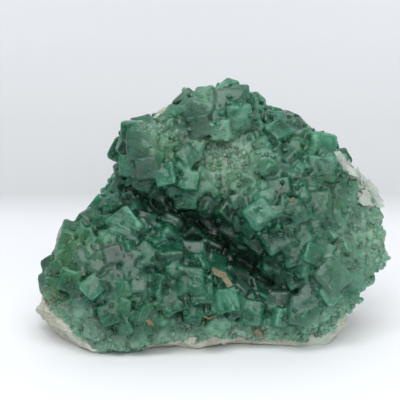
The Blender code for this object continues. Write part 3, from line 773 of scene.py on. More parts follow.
def even_directions(count):
    """Directions spread evenly over a sphere, along a spiral."""
    turn = math.pi * (3 - math.sqrt(5))
    for step in range(count):
        height = 1 - (2 * step + 1) / count
        reach = math.sqrt(1 - height**2)
        yield Vector((reach * math.cos(turn * step), reach * math.sin(turn * step), height))


# From how far a point of the rock is screened, and in how many directions that is looked for
SCREEN_REACH = 7 * MM
SCREEN_RAYS = 16


def openness(shape, tree):
    """How open each point of a mesh lies, from 0 in a deep cleft to 1 on a free face."""
    directions = list(even_directions(SCREEN_RAYS))
    found = np.zeros(len(shape.verts))
    for index, vertex in enumerate(shape.verts):
        start = vertex.co + vertex.normal * 0.4 * MM
        seen = total = 0.0
        for direction in directions:
            facing = direction.dot(vertex.normal)
            if facing < 0.1:
                continue
            total += facing
            hit = tree.ray_cast(start, direction, SCREEN_REACH)
            seen += facing * (1.0 if hit[0] is None else min(1.0, hit[3] / SCREEN_REACH) ** 0.7)
        found[index] = seen / max(total, 1e-6)
    return found


def patch_strength(u, v, patches):
    """Strength of the strongest patch at each place of the face, falling off towards its edge."""
    strength = np.zeros_like(u)
    for at_u, at_v, radius, most in patches:
        away = ((u - at_u) ** 2 + (v - at_v) ** 2) / radius**2
        strength = np.maximum(strength, most * np.exp(-away))
    return strength


def face_places(spots):
    """u and v of an array of spots in metres."""
    away = spots / MM + np.array(ORIGIN)
    return away @ np.array(ACROSS), away @ np.array(UP_FACE)


def set_attribute(mesh, name, kind, domain, values):
    attribute = mesh.attributes.new(name, kind, domain)
    field = {"FLOAT": "value", "FLOAT_COLOR": "color"}.get(kind, "vector")
    attribute.data.foreach_set(field, np.ascontiguousarray(values, dtype=np.float32).ravel())


def vertex_array(mesh, field):
    values = np.zeros(len(mesh.vertices) * 3)
    mesh.vertices.foreach_get(field, values)
    return values.reshape(-1, 3)


# How far from each point of the crust the crystal round it is measured, in millimetres, and how
# open the point is: the first number, less the others times the solid shares nearby and further off
NEAR_REACH = 2.7
FAR_REACH = 9.0
OPENNESS = (1.05, 0.5, 1.1)
# Tone of the ground between the crystals, and the size of the cells there in millimetres
GROUND_TONE = 0.35
GROUND_CELL = 12
# One crystal in five has smoother faces and a painted sky reflection
GLOSSY_REFLECTION_FROM = 0.8
# How much a patch of painted shade takes off a crystal's tone
PAINTED_SHADE_STRENGTH = 0.5
# The pale rim along the foot starts at this share of the way out and ends at this height
LOW_RIM_FROM = 0.84
LOW_RIM_TOP = 34
LOW_RIM_PALE = 0.75
LOW_RIM_ROOM = 0.5


def solid_share(distance, low, points, normals, radius):
    """How much crystal lies round the spot this far before each point, in millimetres."""
    ahead = to_face(points / MM + normals * radius) - low
    solid = (distance < 0).astype(np.float32)
    return sample(blurred(solid, round(radius / GRID_STEP)), ahead / GRID_STEP)


def dress_crust(mesh, crystals, tones, distance, owner, axes):
    """Colours with painted shade, the painted sky reflection and room for finer crystals on every point
    of the crust.
    """
    low = np.array([axis[0] for axis in axes])
    points = vertex_array(mesh, "co")
    normals = vertex_array(mesh, "normal")
    near = solid_share(distance, low, points, normals, NEAR_REACH)
    far = solid_share(distance, low, points, normals, FAR_REACH)
    open_share = np.clip(OPENNESS[0] - OPENNESS[1] * near - OPENNESS[2] * far, 0, 1)
    face_points = (to_face(points / MM) - low) / GRID_STEP
    owned = owner >= 0
    tone = np.where(owned, tones[np.maximum(owner, 0)], GROUND_TONE)
    tone = sample(blurred(tone, 1), face_points)
    glossy_reflection_mask = np.where(owned, np.modf(tones * 97)[0][np.maximum(owner, 0)] > GLOSSY_REFLECTION_FROM, 0.0)
    set_attribute(mesh, "glossy_painted_reflection", "FLOAT", "POINT", sample(blurred(glossy_reflection_mask, 1), face_points))
    u, v = face_places(points)
    # Painted shade: the shaded patches darken the crystals' tone, and the fine crystals keep out of them
    dark = patch_strength(u, v, PAINTED_SHADE_PATCHES)
    reach = rim_radius(np.arctan2(v - MIDDLE[1], u - MIDDLE[0]))
    share = np.hypot(u - MIDDLE[0], v - MIDDLE[1]) / reach
    low_rim = np.clip((share - LOW_RIM_FROM) / 0.1, 0, 1) * np.clip((LOW_RIM_TOP - v) / 10, 0, 1)
    pale = np.maximum(patch_strength(u, v, PALE_PATCHES), LOW_RIM_PALE * low_rim)
    warm = patch_strength(u, v, WARM_PATCHES)
    # The crystal attribute: tone less the painted shade patches, openness for the painted cleft shade,
    # warmth and paleness
    colours = np.stack((tone - PAINTED_SHADE_STRENGTH * dark, open_share, warm, pale), axis=1)
    set_attribute(mesh, "crystal", "FLOAT_COLOR", "POINT", colours)
    facing = np.clip(normals @ np.array(OUTWARD) + 0.5, 0, 1)
    room = np.clip(near * 2 - 0.15, 0, 1) * 0.6
    room = np.maximum(room, patch_strength(u, v, FINE_PATCHES))
    room = np.maximum(room, LOW_RIM_ROOM * low_rim)
    room *= facing * (points[:, 2] > FLOOR_CLEARANCE * MM) * (1 - dark)
    set_attribute(mesh, "room", "FLOAT", "POINT", room)
    set_cells(mesh, points, crystals, owner, low)


def set_cells(mesh, points, crystals, owner, low):
    """Every face corner's place in its own crystal, from -0.5 to 0.5 between opposite faces."""
    centres = np.zeros(len(mesh.polygons) * 3)
    mesh.polygons.foreach_get("center", centres)
    at = np.rint((to_face(centres.reshape(-1, 3) / MM) - low) / GRID_STEP).astype(int)
    whose = owner[tuple(np.clip(at, 0, np.array(owner.shape) - 1).T)]
    per_face = np.zeros(len(mesh.polygons), dtype=np.int64)
    mesh.polygons.foreach_get("loop_total", per_face)
    whose = np.repeat(whose, per_face)
    corner_point = np.zeros(len(mesh.loops), dtype=np.int64)
    mesh.loops.foreach_get("vertex_index", corner_point)
    spots = points[corner_point] / MM
    middles, turns, sides = (np.array([c[field] for c in crystals])[whose] for field in range(3))
    cell = np.einsum("cji,cj->ci", turns, spots - middles) / sides
    cell = np.where((whose >= 0)[:, None], cell, spots / GROUND_CELL)
    set_attribute(mesh, "cell", "FLOAT_VECTOR", "CORNER", cell)


class Nodes:
    """Short ways to add the nodes of one material or node group."""

    def __init__(self, tree):
        self.tree = tree

    def add(self, kind, inputs=None, **settings):
        made = self.tree.nodes.new(kind)
        for name, value in settings.items():
            setattr(made, name, value)
        for name, value in (inputs or {}).items():
            self.feed(made.inputs[name], value)
        return made

    def feed(self, socket, value):
        if isinstance(value, bpy.types.NodeSocket):
            self.tree.links.new(value, socket)
        elif socket.type == "RGBA" and len(value) == 3:
            socket.default_value = (*value, 1)
        else:
            socket.default_value = value

    def math(self, operation, *values, clamp=False):
        made = self.add("ShaderNodeMath", operation=operation, use_clamp=clamp)
        for socket, value in zip(made.inputs, values):
            self.feed(socket, value)
        return made.outputs[0]

    def weighed(self, start, *parts):
        """The start plus each part times its weight."""
        for part, weight in parts:
            start = self.math("MULTIPLY_ADD", part, weight, start)
        return start

    def vector_math(self, operation, *values):
        made = self.add("ShaderNodeVectorMath", operation=operation)
        for socket, value in zip(made.inputs, values):
            self.feed(socket, value)
        return made.outputs[0]

    def mix(self, factor, first, second, blend="MIX"):
        made = self.add("ShaderNodeMix", data_type="RGBA", blend_type=blend)
        self.feed(made.inputs[0], factor)
        self.feed(made.inputs[6], first)
        self.feed(made.inputs[7], second)
        return made.outputs[2]

    def remap(self, value, low, high, to_low=0.0, to_high=1.0):
        made = self.add("ShaderNodeMapRange")
        for socket, number in zip(made.inputs, (value, low, high, to_low, to_high)):
            self.feed(socket, number)
        return made.outputs[0]

    def noise(self, place, scale, detail=3.0, roughness=0.55, distortion=0.0):
        made = self.add("ShaderNodeTexNoise", {
            "Vector": place, "Scale": scale, "Detail": detail, "Roughness": roughness,
            "Distortion": distortion,
        })
        return made.outputs["Fac"]

    def cells(self, place, scale, feature="F1", output="Distance"):
        made = self.add("ShaderNodeTexVoronoi", {"Vector": place, "Scale": scale}, feature=feature)
        return made.outputs[output]

    def ramp(self, factor, *stops):
        made = self.add("ShaderNodeValToRGB", {"Fac": factor})
        steps = made.color_ramp.elements
        while len(steps) < len(stops):
            steps.new(0.5)
        for step, (position, colour) in zip(steps, stops):
            step.position = position
            step.color = (*colour, 1)
        return made.outputs["Color"]

    def object_place(self):
        return self.add("ShaderNodeTexCoord").outputs["Object"]

    def attribute(self, name):
        return self.add("ShaderNodeAttribute", attribute_name=name)

    def bump(self, height, strength, distance, normal=None):
        made = self.add("ShaderNodeBump", {
            "Height": height, "Strength": strength, "Distance": distance,
        })
        if normal is not None:
            self.feed(made.inputs["Normal"], normal)
        return made.outputs["Normal"]


def new_material(name, colour):
    """A material with nodes, and its shader."""
    material = bpy.data.materials.new(name)
    material.use_nodes = True
    material.diffuse_color = (*colour, 1)
    return material, Nodes(material.node_tree), material.node_tree.nodes["Principled BSDF"]


def node_group(name, inputs, outputs):
    """A shader node group with named float or vector inputs, and its nodes."""
    tree = bpy.data.node_groups.new(name, "ShaderNodeTree")
    for label, kind, default in inputs:
        socket = tree.interface.new_socket(label, in_out="INPUT", socket_type=kind)
        if default is not None:
            socket.default_value = default
    for label, kind in outputs:
        tree.interface.new_socket(label, in_out="OUTPUT", socket_type=kind)
    nodes = Nodes(tree)
    return tree, nodes, nodes.add("NodeGroupInput").outputs, nodes.add("NodeGroupOutput").inputs


def veil_group():
    """Cloudy veils and tiny flaws inside a crystal, as a factor and a height."""
    if "crystal_veils" in bpy.data.node_groups:
        return bpy.data.node_groups["crystal_veils"]
    tree, nodes, given, out = node_group(
        "crystal_veils",
        (("Place", "NodeSocketVector", None), ("Cloud Size", "NodeSocketFloat", 0.009),
         ("Flaws", "NodeSocketFloat", 0.3)),
        (("Veils", "NodeSocketFloat"), ("Flaws", "NodeSocketFloat")),
    )
    scale = nodes.math("DIVIDE", 1.0, given["Cloud Size"])
    cloud = nodes.noise(given["Place"], scale, 4.0, 0.6, 0.4)
    fine = nodes.noise(given["Place"], nodes.math("MULTIPLY", scale, 6.0), 2.0, 0.6)
    veils = nodes.remap(cloud, 0.36, 0.66)
    veils = nodes.math("ADD", veils, nodes.remap(fine, 0.3, 0.7, -0.12, 0.12), clamp=True)
    flaws = nodes.math("MULTIPLY", nodes.remap(fine, 0.62, 0.72), given["Flaws"])
    nodes.feed(out["Veils"], veils)
    nodes.feed(out["Flaws"], flaws)
    return tree


def grain_group():
    """Broken rock grain: a tone for colours and a height for bumps."""
    if "rock_grain" in bpy.data.node_groups:
        return bpy.data.node_groups["rock_grain"]
    tree, nodes, given, out = node_group(
        "rock_grain",
        (("Place", "NodeSocketVector", None), ("Grain Size", "NodeSocketFloat", 0.0016)),
        (("Tone", "NodeSocketFloat"), ("Height", "NodeSocketFloat")),
    )
    scale = nodes.math("DIVIDE", 1.0, given["Grain Size"])
    wobble = nodes.noise(given["Place"], scale, 2.0, 0.5)
    cells = nodes.cells(given["Place"], scale)
    patchy = nodes.noise(given["Place"], nodes.math("MULTIPLY", scale, 0.12), 5.0, 0.65)
    tone = nodes.math("MULTIPLY_ADD", wobble, 0.45, nodes.math("MULTIPLY", patchy, 0.55))
    height = nodes.math("MULTIPLY_ADD", cells, -0.7, nodes.math("MULTIPLY", wobble, 0.9))
    nodes.feed(out["Tone"], nodes.remap(tone, 0.3, 0.7))
    nodes.feed(out["Height"], height)
    return tree


def use_group(nodes, group, **values):
    made = nodes.add("ShaderNodeGroup")
    made.node_tree = group
    for name, value in values.items():
        nodes.feed(made.inputs[name.replace("_", " ")], value)
    return made.outputs


def clear_crystal(shader, look):
    """The plain see-through values that all the green crystals share."""
    shader.inputs["IOR"].default_value = look.ior
    shader.inputs["Transmission Weight"].default_value = look.transmission
    shader.inputs["Subsurface Weight"].default_value = look.cloudiness
    shader.inputs["Subsurface Radius"].default_value = SPREAD_SHARES
    shader.inputs["Subsurface Scale"].default_value = SPREAD_DEPTH


def absorb(nodes, look):
    """Plain absorption: the crystal's green deepens with its thickness."""
    body = nodes.add("ShaderNodeVolumeAbsorption", {
        "Color": look.glow, "Density": look.absorption,
    })
    output = nodes.tree.nodes["Material Output"]
    nodes.tree.links.new(body.outputs["Volume"], output.inputs["Volume"])


def fluorite_material(look):
    """Green fluorite, cloudy and zoned along its cube faces, with painted shade in the clefts and
    painted edge highlights.
    """
    material, nodes, shader = new_material("green_fluorite", look.mid_green)
    clear_crystal(shader, look)
    absorb(nodes, look)
    place_out = nodes.object_place()
    crystal = nodes.attribute("crystal")
    split = nodes.add("ShaderNodeSeparateColor", {"Color": crystal.outputs["Color"]}).outputs
    tone, open_share, warm, pale = split[0], split[1], split[2], crystal.outputs["Alpha"]
    cell = nodes.attribute("cell").outputs["Vector"]
    off_middle = nodes.vector_math("ABSOLUTE", cell)
    x, y, z = nodes.add("ShaderNodeSeparateXYZ", {"Vector": off_middle}).outputs
    most = nodes.math("MAXIMUM", nodes.math("MAXIMUM", x, y), z)
    least = nodes.math("MINIMUM", nodes.math("MINIMUM", x, y), z)
    total = nodes.math("ADD", nodes.math("ADD", x, y), z)
    second = nodes.math("SUBTRACT", nodes.math("SUBTRACT", total, most), least)
    inward = nodes.math("SUBTRACT", 0.5, second)
    veil = use_group(nodes, veil_group(), Place=place_out, Cloud_Size=0.008, Flaws=0.5)
    fine = nodes.noise(place_out, 420.0, 3.0)
    zone = nodes.remap(nodes.noise(place_out, 24.0, 2.0), 0.3, 0.7, -0.16, 0.16)
    jitter = nodes.vector_math("ADD", cell, nodes.add("ShaderNodeCombineXYZ", {
        "X": nodes.math("MULTIPLY", tone, 37.0), "Y": nodes.math("MULTIPLY", tone, 91.0),
    }).outputs[0])
    cloud = nodes.remap(nodes.noise(jitter, 1.5, 3.0, 0.5, 0.5), 0.36, 0.64)
    # Painted highlight: a thin pale line along the edges of each cube face
    line = nodes.ramp(
        nodes.math("MULTIPLY_ADD", fine, 0.05, nodes.math("SUBTRACT", inward, 0.025)),
        (0.0, (0.75,) * 3), (0.03, (0.5,) * 3), (0.08, (0.0,) * 3), (1.0, (0.0,) * 3),
    )
    # Lightness: cloud, veils, zoning and tone are the crystal's own; the openness term paints light on
    # open faces and shade in closed ones
    light = nodes.weighed(
        zone, (cloud, 0.40), (veil["Veils"], 0.26), (tone, 0.44),
        (nodes.remap(open_share, 0.5, 0.97), 0.38), (line, nodes.remap(cloud, 0.0, 1.0, 0.1, 0.3)),
    )
    light = nodes.math("SUBTRACT", light, 0.40, clamp=True)
    green = nodes.ramp(
        light,
        (0.0, look.deep_green), (0.34, look.mid_green),
        (0.72, look.mint_green), (1.0, look.pale_mint),
    )
    warm_share = nodes.math("MULTIPLY", warm, nodes.remap(veil["Veils"], 0.1, 0.9, 0.3, 0.9))
    green = nodes.mix(warm_share, green, look.warm_green)
    # Painted reflection: one crystal in five is greyed as if its faces mirrored the sky, and its faces
    # are smoother too
    glossy_painted_reflection = nodes.attribute("glossy_painted_reflection").outputs["Fac"]
    green = nodes.mix(nodes.math("MULTIPLY", glossy_painted_reflection, 0.5), green, look.painted_sky_reflection)
    pale_share = nodes.math("MULTIPLY", pale, nodes.remap(fine, 0.35, 0.6, 0.45, 1.0))
    green = nodes.mix(pale_share, green, look.pale_ground)
    # Painted shade: the clefts between the crystals turn dark green by how closed in they lie, less so
    # on the pale patches
    deep = nodes.remap(open_share, 0.2, 0.6, 0.9, 0.0)
    cleft = nodes.math("MULTIPLY", deep, nodes.math("SUBTRACT", 1.0, pale))
    green = nodes.mix(cleft, green, look.cleft_painted_shade)
    green = nodes.mix(veil["Flaws"], green, look.pale_mint)
    nodes.feed(shader.inputs["Base Color"], green)
    frost = nodes.noise(place_out, 120.0, 3.0, 0.6)
    frosted = nodes.remap(frost, 0.35, 0.65, look.roughness - 0.06, look.roughness + 0.12)
    own_frost = nodes.remap(nodes.noise(cell, 1.3, 1.0), 0.4, 0.6, -0.06, 0.1)
    rough = nodes.weighed(nodes.math("ADD", frosted, own_frost), (glossy_painted_reflection, -0.06))
    nodes.feed(shader.inputs["Roughness"], rough)
    growth = nodes.cells(nodes.vector_math("MULTIPLY", cell, (5.0, 5.0, 5.0)), 1.0)
    swell = nodes.noise(place_out, 230.0, 3.0, 0.55)
    height = nodes.math("MULTIPLY_ADD", growth, 0.35, swell)
    normal = nodes.bump(height, 0.35, 0.0009)
    pits = nodes.noise(place_out, 1400.0, 2.0)
    nodes.feed(shader.inputs["Normal"], nodes.bump(pits, 0.12, 0.0003, normal))
    return material


def small_crystal_material(look):
    """The fine crystals in the clefts: the same green, lighter, with a tone for each crystal."""
    material, nodes, shader = new_material("fine_fluorite", look.mint_green)
    clear_crystal(shader, look)
    absorb(nodes, look)
    place_out = nodes.object_place()
    tint = nodes.attribute("tint").outputs["Fac"]
    crystal = nodes.attribute("crystal")
    split = nodes.add("ShaderNodeSeparateColor", {"Color": crystal.outputs["Color"]}).outputs
    veil = use_group(nodes, veil_group(), Place=place_out, Cloud_Size=0.003, Flaws=0.2)
    # The crust's painted shade carries over: lighter on open ground, darker in the clefts and the shaded
    # patches
    light = nodes.weighed(
        nodes.math("MULTIPLY", veil["Veils"], 0.25), (tint, 0.3),
        (nodes.remap(split[1], 0.5, 0.95), 0.3), (split[0], 0.4),
    )
    green = nodes.ramp(
        nodes.math("SUBTRACT", light, 0.25, clamp=True),
        (0.0, look.deep_green), (0.4, look.mid_green),
        (0.8, look.mint_green), (1.0, look.pale_mint),
    )
    green = nodes.mix(nodes.math("MULTIPLY", split[2], 0.7), green, look.warm_green)
    pale = nodes.math("MULTIPLY", crystal.outputs["Alpha"], nodes.remap(tint, 0.0, 1.0, 0.4, 1.0))
    green = nodes.mix(pale, green, look.pale_ground)
    nodes.feed(shader.inputs["Base Color"], green)
    nodes.feed(shader.inputs["Roughness"], nodes.remap(tint, 0.0, 1.0, 0.12, 0.32))
    pits = nodes.noise(place_out, 900.0, 2.0)
    nodes.feed(shader.inputs["Normal"], nodes.bump(pits, 0.2, 0.0003))
    return material


def rock_material(look):
    """Pale host rock: cream grain with white quartz, tan stains, brown specks and painted shade in its
    clefts.
    """
    material, nodes, shader = new_material("pale_rock", look.cream)
    place_out = nodes.object_place()
    stain = nodes.attribute("stain").outputs["Fac"]
    grain = use_group(nodes, grain_group(), Place=place_out, Grain_Size=0.0015)
    broad = nodes.noise(place_out, 26.0, 5.0, 0.62, 0.6)
    colour = nodes.ramp(
        grain["Tone"],
        (0.0, look.dim_rock), (0.4, look.cream), (1.0, look.white_rock),
    )
    tan_share = nodes.math("MULTIPLY", nodes.remap(broad, 0.52, 0.72), 0.55)
    tan_share = nodes.math("MAXIMUM", tan_share, nodes.math("MULTIPLY", stain, 0.85))
    colour = nodes.mix(tan_share, colour, look.tan_stain)
    specks = nodes.remap(nodes.cells(place_out, 210.0), 0.10, 0.2, 0.75, 0.0)
    specks = nodes.math("MULTIPLY", specks, nodes.remap(nodes.noise(place_out, 60.0), 0.5, 0.6))
    colour = nodes.mix(specks, colour, look.brown_speck_and_cleft_shade)
    # Painted shade: the rock turns dark brown where it lies closed in, in its clefts
    open_share = nodes.attribute("open").outputs["Fac"]
    colour = nodes.mix(nodes.remap(open_share, 0.25, 0.7, 0.6, 0.0), colour, look.brown_speck_and_cleft_shade)
    nodes.feed(shader.inputs["Roughness"], nodes.remap(grain["Tone"], 0.0, 1.0, 0.9, 0.62))
    milk = nodes.attribute("milk").outputs["Fac"]
    colour = nodes.mix(milk, colour, look.milk_green)
    nodes.feed(shader.inputs["Base Color"], colour)
    normal = nodes.bump(grain["Height"], 0.5, 0.0007)
    fine = nodes.noise(place_out, 2600.0, 2.0)
    nodes.feed(shader.inputs["Normal"], nodes.bump(fine, 0.25, 0.0002, normal))
    return material


def quartz_material(look, name, clearness):
    """Milky white quartz with a breath of green."""
    material, nodes, shader = new_material(name, look.white_rock)
    place_out = nodes.object_place()
    veil = use_group(nodes, veil_group(), Place=place_out, Cloud_Size=0.004, Flaws=0.0)
    colour = nodes.mix(veil["Veils"], look.milk_green, look.white_rock)
    nodes.feed(shader.inputs["Base Color"], colour)
    nodes.feed(shader.inputs["Roughness"], nodes.remap(veil["Veils"], 0.0, 1.0, 0.18, 0.4))
    shader.inputs["IOR"].default_value = QUARTZ_IOR
    shader.inputs["Transmission Weight"].default_value = clearness
    ridges = nodes.noise(place_out, 700.0, 3.0)
    nodes.feed(shader.inputs["Normal"], nodes.bump(ridges, 0.3, 0.0004))
    return material


def chip_material(look):
    """Rusty splinters: tan rock with pale flecks."""
    material, nodes, shader = new_material("rusty_rock", look.tan_stain)
    place_out = nodes.object_place()
    grain = use_group(nodes, grain_group(), Place=place_out, Grain_Size=0.001)
    colour = nodes.ramp(
        grain["Tone"],
        (0.0, look.brown_speck_and_cleft_shade), (0.5, look.tan_stain), (1.0, look.khaki),
    )
    nodes.feed(shader.inputs["Base Color"], colour)
    nodes.feed(shader.inputs["Roughness"], nodes.remap(grain["Tone"], 0.0, 1.0, 0.85, 0.6))
    nodes.feed(shader.inputs["Normal"], nodes.bump(grain["Height"], 0.5, 0.0006))
    return material


def paint(made, material):
    made.data.materials.clear()
    made.data.materials.append(material)
    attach(made, BODY)


def scatter_tree():
    """Geometry nodes that scatter a template where a surface's room attribute leaves it room."""
    if "scatter" in bpy.data.node_groups:
        return bpy.data.node_groups["scatter"]
    tree = bpy.data.node_groups.new("scatter", "GeometryNodeTree")
    for label, kind in (
        ("Surface", "Geometry"), ("Template", "Object"), ("Density", "Float"),
        ("Smallest", "Float"), ("Largest", "Float"), ("Seed", "Int"), ("Material", "Material"),
    ):
        tree.interface.new_socket(label, in_out="INPUT", socket_type="NodeSocket" + kind)
    tree.interface.new_socket("Pieces", in_out="OUTPUT", socket_type="NodeSocketGeometry")
    nodes = Nodes(tree)
    given = nodes.add("NodeGroupInput").outputs
    room = nodes.add("GeometryNodeInputNamedAttribute", {"Name": "room"}, data_type="FLOAT")
    spots = nodes.add("GeometryNodeDistributePointsOnFaces", {
        "Mesh": given["Surface"], "Seed": given["Seed"],
        "Density": nodes.math("MULTIPLY", room.outputs[0], given["Density"]),
    })
    random_float = nodes.add("FunctionNodeRandomValue", data_type="FLOAT")
    nodes.feed(random_float.inputs["Seed"], given["Seed"])
    tinted = nodes.add("GeometryNodeStoreNamedAttribute", {
        "Geometry": spots.outputs["Points"], "Name": "tint", "Value": random_float.outputs[1],
    }, data_type="FLOAT", domain="POINT")
    turn = nodes.add("FunctionNodeRandomValue", data_type="FLOAT_VECTOR")
    turn.inputs[1].default_value = (math.tau,) * 3
    size = nodes.add("FunctionNodeRandomValue", data_type="FLOAT")
    nodes.feed(size.inputs[2], given["Smallest"])
    nodes.feed(size.inputs[3], given["Largest"])
    size.inputs["Seed"].default_value = SIZE_SEED
    template = nodes.add("GeometryNodeObjectInfo", {"Object": given["Template"]})
    placed = nodes.add("GeometryNodeInstanceOnPoints", {
        "Points": tinted.outputs[0], "Instance": template.outputs["Geometry"],
        "Rotation": turn.outputs[0], "Scale": size.outputs[1],
    })
    real = nodes.add("GeometryNodeRealizeInstances", {"Geometry": placed.outputs[0]})
    painted = nodes.add("GeometryNodeSetMaterial", {
        "Geometry": real.outputs[0], "Material": given["Material"],
    })
    nodes.feed(nodes.add("NodeGroupOutput").inputs[0], painted.outputs[0])
    return tree


def scatter(name, surface, template, material, **values):
    """A mesh of many copies of the template, spread over a surface by the scatter tree."""
    holder = link_object("holder", surface.data.copy())
    grown = holder.modifiers.new("scatter", "NODES")
    grown.node_group = scatter_tree()
    sockets = {item.name: item.identifier for item in grown.node_group.interface.items_tree}
    grown[sockets["Template"]] = template
    grown[sockets["Material"]] = material
    for label, value in values.items():
        grown[sockets[label]] = value
    holder.update_tag()
    mesh = settled(holder)
    drop(holder, template)
    for spare in ("cell", "room", "stain", "open", "milk", "glossy_painted_reflection"):
        if spare in mesh.attributes:
            mesh.attributes.remove(mesh.attributes[spare])
    made = link_object(name, mesh)
    made.data.shade_flat()
    return made


def cube_template():
    """A cube of unit size with softened edges."""
    shape = bmesh.new()
    bmesh.ops.create_cube(shape, size=1)
    bmesh.ops.bevel(shape, geom=list(shape.edges), offset=0.09, segments=1, affect="EDGES")
    return to_object("cube_template", shape)


def quartz_template():
    """A stubby six-sided quartz crystal of unit length."""
    shape = bmesh.new()
    rings = []
    for reach, height in ((0.27, -0.25), (0.24, 0.2)):
        turns = [math.tau * step / 6 for step in range(6)]
        rings.append([
            shape.verts.new((reach * math.cos(turn), reach * math.sin(turn), height)) for turn in turns
        ])
    ends = (shape.verts.new((0, 0, -0.5)), shape.verts.new((0.03, 0, 0.5)))
    for step in range(6):
        after = (step + 1) % 6
        shape.faces.new((rings[0][step], rings[0][after], rings[1][after], rings[1][step]))
        shape.faces.new((ends[0], rings[0][after], rings[0][step]))
        shape.faces.new((ends[1], rings[1][step], rings[1][after]))
    bmesh.ops.recalc_face_normals(shape, faces=shape.faces)
    return to_object("quartz_template", shape)


def rock_crumble(spot, look):
    """How far broken rock stands in or out at a spot in metres, in metres."""
    near = Vector(spot) / look.lump_size
    ridge = noise.multi_fractal(near, 0.9, 2.1, 4)
    chips = noise.cell(near * 1.7)
    step = noise.noise(near * 3.1)
    return look.lump_height * (0.55 * (ridge - 1.0) + 0.15 * chips + 0.45 * step)


def broken_facets(spot, look):
    """How far the rock is broken back at a spot, in metres: tilted facets with ledges between."""
    back = 0.0
    for size, share in ((look.facet_size, 1.0), (look.facet_size * 0.42, 0.4)):
        near = Vector(spot) / size
        middle = noise.voronoi(near)[1][0]
        tilt = noise.noise_vector(middle * 3.7 + Vector((5, 1, 9)))
        back += share * min(1.2, max(0.0, 0.5 + 1.5 * tilt.dot(near - middle) + 0.8 * tilt.x))
    return look.facet_depth * (back - 0.3)


def shape_crystals(large, steps, small, random, look):
    """Sides and softening of every crystal, as (middle, turn, sides, width)."""
    shaped = []
    for middle, turn, edge in large:
        sides = [edge * look.fullness * random.uniform(*LARGE_SIDES) for _ in range(3)]
        softening = edge * look.softening * random.uniform(*LARGE_SOFTENING)
        shaped.append((middle, turn, sides, softening))
    for crystals, spread in ((steps, STEP_SIDES), (small, SMALL_SIDES)):
        for middle, turn, edge in crystals:
            sides = [edge * random.uniform(*spread) for _ in range(3)]
            shaped.append((middle, turn, sides, edge * look.softening))
    return shaped


def crystal_tones(large, steps, small, random):
    """How light each crystal is. A step takes after the crystals near it, as it is drawn alike."""
    tones = [random.betavariate(2.0, 2.0) for _ in large + steps]
    tones += [random.uniform(0.2, 1.0) for _ in small]
    return np.array(tones)


def front_hit(u, v):
    """The spot of the specimen's front at u, v, and how it faces, seen along the face frame."""
    start = place(u, v, 90) * MM
    nearest = None
    for name in ("fluorite_crystals", "broken_rock"):
        hit, spot, normal, _ = bpy.data.objects[name].ray_cast(start, -OUTWARD)
        if hit and (nearest is None or (spot - start).length < (nearest[0] - start).length):
            nearest = (spot, normal)
    return nearest


def shard(shape, middle, turn, sides, random, points=14):
    """An angular splinter: the hull of points drawn in a box, its sizes in metres."""
    corners = []
    for _ in range(points):
        spot = Vector(random.choice((-0.5, 0.5)) * random.uniform(0.1, 1) for _ in range(3))
        corners.append(shape.verts.new(middle + turn @ Vector(a * b for a, b in zip(spot, sides))))
    made = bmesh.ops.convex_hull(shape, input=corners)
    spare = [item for item in made["geom_interior"] if isinstance(item, bmesh.types.BMVert)]
    bmesh.ops.delete(shape, geom=spare, context="VERTS")


def plate(shape, middle, turn, sides, random):
    """A thin plate with an uneven outline, its sizes in metres."""
    corners = 5
    rings = []
    for level in (-0.5, 0.5):
        rings.append([])
        for step in range(corners):
            angle = math.tau * (step + random.uniform(-0.25, 0.25)) / corners
            reach = random.uniform(0.38, 0.5)
            spot = Vector((reach * math.cos(angle), reach * math.sin(angle), level))
            spot = Vector(a * b for a, b in zip(spot, sides))
            rings[-1].append(shape.verts.new(middle + turn @ spot))
    shape.faces.new(rings[0][::-1])
    shape.faces.new(rings[1])
    for step in range(corners):
        after = (step + 1) % corners
        shape.faces.new((rings[0][step], rings[0][after], rings[1][after], rings[1][step]))


def clear_from_behind(nodes, shader):
    """Lets a camera behind the wall look through it, while the light still meets the wall."""
    behind = nodes.add("ShaderNodeNewGeometry").outputs["Backfacing"]
    looking = nodes.add("ShaderNodeLightPath").outputs["Is Camera Ray"]
    seen = nodes.add("ShaderNodeMixShader", {"Fac": nodes.math("MULTIPLY", behind, looking)})
    nodes.feed(seen.inputs[1], shader.outputs["BSDF"])
    nodes.feed(seen.inputs[2], nodes.add("ShaderNodeBsdfTransparent").outputs["BSDF"])
    nodes.feed(nodes.tree.nodes["Material Output"].inputs["Surface"], seen.outputs["Shader"])


def add_softbox(name, power, size, where):
    """A large even light that faces the specimen."""
    lamp = bpy.data.lights.new(name, "AREA")
    lamp.shape = "RECTANGLE"
    lamp.size, lamp.size_y = size
    lamp.energy = power
    made = link_object(name, lamp)
    made.location = where
    aim = Vector((0, 0, LIT_HEIGHT)) - made.location
    made.rotation_euler = aim.to_track_quat("-Z", "Y").to_euler()


def sweep_shape(look):
    """Floor and wall as one sheet with a wide rounded corner."""
    profile = [(FLOOR_FRONT, 0.0), (FLOOR_BEND, 0.0)]
    radius = CORNER_RADIUS
    for step in range(CORNER_STEPS + 1):
        angle = math.pi / 2 * step / CORNER_STEPS
        y = look.wall_distance - radius + radius * math.sin(angle)
        profile.append((y, radius - radius * math.cos(angle)))
    profile += [(look.wall_distance, WALL_MIDDLE), (look.wall_distance, WALL_TOP)]
    shape = bmesh.new()
    rows = [[shape.verts.new((x, y, z)) for y, z in profile] for x in (-HALF_WIDTH, HALF_WIDTH)]
    for step in range(len(profile) - 1):
        shape.faces.new((rows[0][step], rows[1][step], rows[1][step + 1], rows[0][step + 1]))
    shape.normal_update()
    return shape


